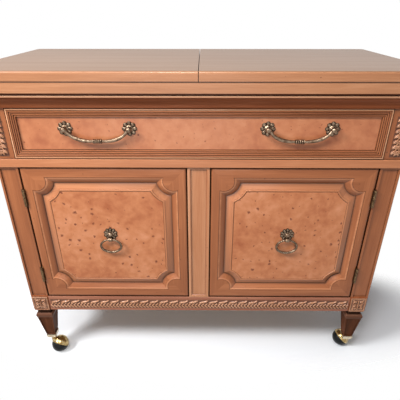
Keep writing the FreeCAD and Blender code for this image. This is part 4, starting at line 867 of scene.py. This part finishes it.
def ringPull(word, look=ringLook):
    middle = middleOf("ring_boss_" + word)[0]
    _, face, top = span("ring_boss_" + word)[1]
    centre = (middle, face, top - look["boss"])
    y, z = middleOf("ring_" + word)[1], span("ring_" + word)[1][2] - look["rod"]
    form = Form()
    petals(form, centre, look["boss"], look["thick"], look["petals"])
    petals(form, (middle, face - look["smallOut"], centre[2]), look["boss"] * look["small"],
           look["smallThick"], look["smallPetals"], 10, 96)
    dome = look["dome"]
    lathe(form, [(max(0.01, dome * sin(turn)), look["domeOut"] - dome * cos(turn))
                 for turn in turns(14, 0, 180)], Matrix.Translation(centre) @ frontTurn, 28, glaze=0.1)
    hole, wide, long = look["lug"]
    lug = [(hole, 0), (wide - 0.5, 0), (wide, 0.6), (wide, long - 0.6), (wide - 0.5, long), (hole, long)]
    lathe(form, lug, Matrix.Translation((middle - long / 2, y, z)) @ acrossTurn, 28, closed=True, glaze=0.15)
    tongue = ((y + wide * 0.75, 3.6, 2.6), ((y + face) / 2, 3.9, 3.2), (face, 4.4, 4.0))
    form.capped([form.loop([(middle + right * half, depth, z + up * tall) for right, up in
                            ((-1, -1), (1, -1), (1, 1), (-1, 1))], 0.4) for depth, half, tall in tongue])
    build(form, "ringBoss" + word.title(), [antiqueBrass], "door_" + word,
          ["ring_boss_" + word], 40)
    path, radii = [], []
    for turn in circle(look["steps"]):
        path.append((middle + look["across"] * sin(turn), y, z - look["down"] * (1 - cos(turn))))
        foot = max(0.0, -cos(turn)) ** 1.5
        radius = look["rod"] + (look["foot"] - look["rod"]) * foot + look["side"] * sin(turn) ** 2
        away = abs(turn - pi)
        if away < look["reeded"]:
            radius += 0.55 * abs(cos(away * look["reedTurn"])) - 0.35
        radii.append(radius)
    form = Form()
    tube(form, path, radii, 18, [0.1 + 0.6 * (step % 4 < 2) for step in range(look["steps"])], closed=True)
    build(form, "ring" + word.title(), [antiqueBrass], "ring_" + word, ["ring_" + word], 40)


bailBosses()
for word in sides:
    bail(word)
    ringPull(word)

print("stage: carving")

# Carving: heights over the wood in millimetres, worked out from leaves, strokes and arcs.
carvingLook = {
    "garlandWide": 28, "garlandHigh": 91.4, "garlandOut": 1.5, "garlandRows": 7, "garlandDeep": 4.4,
    "blockWide": 42, "blockDeep": 3.8, "border": 3.4, "borderRise": 1.3, "ground": 0.9,
    "bandDeep": 3.6, "pitches": (27, 9),      # of the band's leaves and of its strokes
    "bedded": 0.8,                            # how far a carving's back goes into the wood
    "garlandStep": 0.55, "blockStep": 0.6, "bandStep": 0.65,
}


def leafShape(u, v, base, lean, long, wide, high, rib=0.35):
    # a pointed leaf from its base: arched across, rising to the tip, with a sunk rib
    turn = radians(lean)
    along = (u - base[0]) * cos(turn) + (v - base[1]) * sin(turn)
    across = (v - base[1]) * cos(turn) - (u - base[0]) * sin(turn)
    part = np.clip(along / long, 0, 1)
    half = wide * np.sin(pi * part ** 0.8) ** 0.75 + 1e-6
    arch = np.sqrt(np.clip(1 - (across / half) ** 2, 0, 1))
    rise = high * (0.5 + 0.5 * np.sin(pi * np.clip(part * 0.75 + 0.1, 0, 1))) * arch
    rise = rise * (1 - rib * np.exp(-(across / 0.7) ** 2))
    return np.where((along > 0) & (along < long), rise, 0)


def bud(u, v, centre, wide, tall, high):
    return high * np.sqrt(np.clip(1 - ((u - centre[0]) / wide) ** 2 - ((v - centre[1]) / tall) ** 2, 0, 1))


def stroke(u, v, start, end, wide, high):
    # a rounded ridge from start to end
    run = (end[0] - start[0], end[1] - start[1])
    part = ((u - start[0]) * run[0] + (v - start[1]) * run[1]) / (run[0] ** 2 + run[1] ** 2)
    part = np.clip(part, 0, 1)
    away = np.hypot(u - start[0] - part * run[0], v - start[1] - part * run[1])
    return high * np.sqrt(np.clip(1 - (away / wide) ** 2, 0, 1))


def curl(u, v, centre, radius, wide, high, opens):
    # a ridge round a centre, left out on one side
    away = np.abs(np.hypot(u - centre[0], v - centre[1]) - radius)
    turn = np.arctan2(v - centre[1], u - centre[0])
    gap = np.abs((turn - opens + pi) % (2 * pi) - pi)
    return np.where(gap > 0.7, high * np.sqrt(np.clip(1 - (away / wide) ** 2, 0, 1)), 0)


def garland(middle, top, low, look=carvingLook):
    # pairs of leaves that hang from a stem of buds
    pitch = (top - low) / look["garlandRows"]
    deep = look["garlandDeep"]

    def height(u, v):
        shapes = []
        for row in range(look["garlandRows"]):
            level = top - pitch * (row + 0.15)
            shapes.append(bud(u, v, (middle, level - 3.2), 2.3, 3.6, deep))
            for hand, outer, inner in ((-1, 218, 248), (1, -38, -68)):
                spot, lower = (middle + hand * 1.5, level), (middle + hand * 0.5, level - pitch * 0.25)
                shapes += [leafShape(u, v, spot, outer, 14.4, 4.0, deep),
                           leafShape(u, v, lower, inner, 11.5, 2.8, deep * 0.95)]
        return np.maximum.reduce(shapes)
    return height


def blockPattern(middle, centre, halfWide, halfHigh, look=carvingLook):
    # four curls and their leaves about an upright stem, in a rounded border
    deep, border = look["blockDeep"], look["border"]

    def height(u, v):
        a, b = u - middle, v - centre
        inside = np.minimum(halfWide - np.abs(a), halfHigh - np.abs(b))
        bead = look["borderRise"] * np.sqrt(np.clip(1 - ((inside - border / 2) / (border / 2)) ** 2, 0, 1))
        shapes = [look["ground"] + np.where(inside < border, bead, 0),
                  stroke(a, b, (0, -15), (0, 15), 1.5, deep)]
        for hand in (-1, 1):
            for lift in (1, -1):
                spot = (hand * 8, lift * 8)
                opens = pi / 2 * (1 - hand) + hand * lift * 0.6 + pi
                lean = 90 * lift - hand * lift * 50
                shapes += [curl(a, b, spot, 4.3, 1.5, deep, opens), bud(a, b, spot, 1.9, 1.9, deep),
                           leafShape(a, b, (hand * 9, lift * 12), lean, 8, 2.2, deep * 0.9)]
            shapes.append(leafShape(a, b, (hand * 2, 0), 90 - hand * 90, 13, 2.6, deep * 0.9))
        return np.maximum.reduce(shapes)
    return height


def bandPattern(left, low, look=carvingLook):
    # an upper row of leaves and a lower row of chevrons, as rope is carved
    deep, ground = look["bandDeep"], 0.5

    def height(u, v):
        shapes = [np.full_like(u, ground)]
        for turn in (-1, 0, 1):
            a, b = ((u - left) % pitch + turn * pitch for pitch in look["pitches"])
            shapes += [leafShape(a, v - low, (2, 18.6), 12, 24, 3.4, deep, 0.0),
                       stroke(a, v - low, (15, 20.5), (24.5, 25.6), 2.2, deep),
                       stroke(b, v - low, (1, 11.2), (6.6, 16.4), 1.9, deep * 0.95),
                       stroke(b, v - low, (1, 9.2), (7.4, 3.4), 2.1, deep)]
        return np.maximum.reduce(shapes)
    return height


def carvings(look=carvingLook):
    low, high = span("post_carvings")
    bandLow, bandHigh = span("apron_carving")
    face = span("corner_post_front_right")[0][1]
    back = face + look["bedded"]
    form = Form()
    for word, side in sides.items():
        middle = middleOf("corner_post_front_" + word)[0]
        centre, half = middle + side * look["garlandOut"], look["garlandWide"] / 2
        foot = high[2] - look["garlandHigh"]
        relief(form, (centre - half, centre + half), (foot, high[2]), face - 0.12, back,
               garland(centre, high[2] - 1, foot + 6), look["garlandStep"], look["garlandDeep"])
        half = look["blockWide"] / 2
        relief(form, (middle - half, middle + half), (low[2], low[2] + blockHigh), face - 0.1, back,
               blockPattern(middle, low[2] + blockHigh / 2, half, blockHigh / 2), look["blockStep"],
               look["blockDeep"])
    build(form, "postCarvings", [carvedPecan], instead=["post_carvings"], crease=60)
    form = Form()
    relief(form, (bandLow[0], bandHigh[0]), (bandLow[2], bandHigh[2]), face - 0.1, back,
           bandPattern(bandLow[0], bandLow[2]), look["bandStep"], look["bandDeep"])
    build(form, "apronCarving", [carvedPecan], instead=["apron_carving"], crease=60)


carvings()

# Rounded edge inside the centre stile's sunk panel, painted dark at its wall and foot: glaze with painted
# shade.
trimLook = {
    "border": (6, 5),       # from the stile's sides and ends
    "section": ((0.02, 2.95, 0.9), (0.02, 0.5, 0.3), (0.7, 0.35, 0.0), (1.5, 0.9, 0.2), (2.2, 2.0, 0.7),
                (2.6, 2.95, 0.95)),
}


def stileTrim(look=trimLook):
    low, high = span("centre_stile")
    across, upward = look["border"]
    form = Form()
    start, end = (low[0] + across, low[2] + upward), (high[0] - across, high[2] - upward)
    loops = [form.loop(rectangle(start, end, inset, low[1] + y), glaze)
             for inset, y, glaze in look["section"]]
    form.skin(loops, levelOrUpright, closed=True)
    build(form, "stileTrim", [pecanAlong["X"], pecanAlong["Z"]])


stileTrim()

print("stage: finishes on the plain pieces")

# Each plain piece keeps its solid's shape; its finish comes first, then how far its edges are eased.
handEase, hingeEase = 0.9, 0.3
plainPieces = (
    (topPecan, 0, ("top_leaf_left", "top_leaf_right")),
    (topPecan, 1.6, ("fixed_top",)),
    (pecanAlong["X"], handEase, ("frieze_rail", "middle_rail")),
    (pecanAlong["Z"], handEase, ("side_panel_left", "side_panel_right", "corner_post_rear_left",
                                 "corner_post_rear_right")),
    (sheenStilePecan, handEase, ("centre_stile",)),
    (apronPecan, handEase, ("apron_rail",)),
    (drawerBurl, 0, ("drawer_burl_panel",)),
    (insideAlong["X"], handEase, ("cabinet_floor", "dust_board", "shelves", "drawer_back", "drawer_bottom")),
    (insideAlong["Y"], handEase, ("drawer_sides", "drawer_runners")),
    (insideAlong["Z"], handEase, ("partition", "back_panel")),
    (darkLaminate, 0, ("serving_surface",)),
    (catchPlastic, hingeEase, ("door_catches",)),
    (ferruleBrass, 0.35, ("caster_sockets",)),
    (hingeBronze, hingeEase, ("hinge_pins", "fixed_hinge_leaves", "top_hinge_leaves_left",
                              "top_hinge_leaves_right", "door_hinge_leaves_left", "door_hinge_leaves_right")),
)
for finish, width, names in plainPieces:
    for name in names:
        thing = nodes[name]
        thing.data.materials.clear()
        thing.data.materials.append(finish)
        if width:
            thing.modifiers.new("welded", "WELD").merge_threshold = 0.00001
            ease = thing.modifiers.new("easedEdges", "BEVEL")
            ease.width = width * mm
            ease.segments = 3
            ease.limit_method = "ANGLE"
            ease.angle_limit = radians(50)

print("stage: camera and light")

camera = newObject("camera", bpy.data.cameras.new("camera"))
view = {"place": (0.0092, -0.985, 0.9175), "down": 27.07, "turn": 0.44, "focal": 377, "frame": 400}
camera.location = view["place"]
camera.rotation_euler = (radians(90 - view["down"]), 0, radians(view["turn"]))
camera.data.sensor_width = 36
camera.data.lens = view["focal"] / view["frame"] * camera.data.sensor_width
bpy.context.scene.camera = camera


def lamp(name, place, aim, size, watts, tint=(1, 1, 1)):
    light = bpy.data.lights.new(name, "AREA")
    light.shape = "RECTANGLE"
    light.size, light.size_y = size
    light.energy = watts
    light.color = tint
    thing = newObject(name, light)
    thing.location = place
    thing.rotation_euler = (Vector(aim) - Vector(place)).to_track_quat("-Z", "Y").to_euler()


lamp("highSoftbox", (-1.9, -0.7, 4.1), (0.1, 0.1, 0), (3.2, 3.2), 62)
lamp("keySoftbox", (-1.4, -0.95, 1.75), (0, -0.2, 0.45), (0.5, 0.5), 37)
lamp("frontSoftbox", (-0.15, -1.0, 1.75), (-0.12, -0.2, 0.55), (0.35, 0.35), 13)
lamp("windowPanel", (-0.2, -1.6, 0.5), (-0.2, 0, 0.5), (1.0, 0.8), 4.5, (0.9, 0.95, 1.0))

world = bpy.data.worlds.new("paleStudio")
bpy.context.scene.world = world
world.use_nodes = True
add = partial(addNode, world.node_tree)
rays = add("LightPath")
seen = add("Math", (rays.outputs["Is Camera Ray"], rays.outputs["Is Glossy Ray"]), operation="MAXIMUM")
seen = add("Math", (seen, rays.outputs["Is Transmission Ray"]), operation="MAXIMUM")
strength = add("MapRange", {"Value": seen, "To Min": 0.22, "To Max": 1.0})
fill(world.node_tree.nodes["Background"], {"Color": (1, 1, 1, 1), "Strength": strength})

# The floor keeps the shadow and fades into the white room beyond it.
floorLook = {"low": (-1.2, -0.5), "high": (1.3, 0.6), "middle": (0.06, 0.0), "half": (0.78, 0.27),
             "whole": 0.75, "gone": 1.12}
floorMesh = bpy.data.meshes.new("floor")
floorCorners = [(x, y, 0) for x, y in cornersOf(floorLook["low"], floorLook["high"])]
floorMesh.from_pydata(floorCorners, [], [(0, 1, 2, 3)])
floor = newObject("floor", floorMesh)
floorFinish, place, add = newFinish("paleFloor")
away = add("Mapping", {
    "Vector": place, "Scale": [1 / half for half in floorLook["half"]] + [1],
    "Location": [-middle / half for middle, half in zip(floorLook["middle"], floorLook["half"])] + [0]})
away = add("VectorMath", (away,), operation="LENGTH")
fade = add("MapRange", (away, floorLook["whole"], floorLook["gone"], 1.0, 0.0),
           interpolation_type="SMOOTHSTEP")
floorMesh.materials.append(coated(floorFinish, Base_Color=shade("#f4f7fb"), Roughness=0.95, Alpha=fade))

bpy.context.scene.view_settings.view_transform = "Standard"
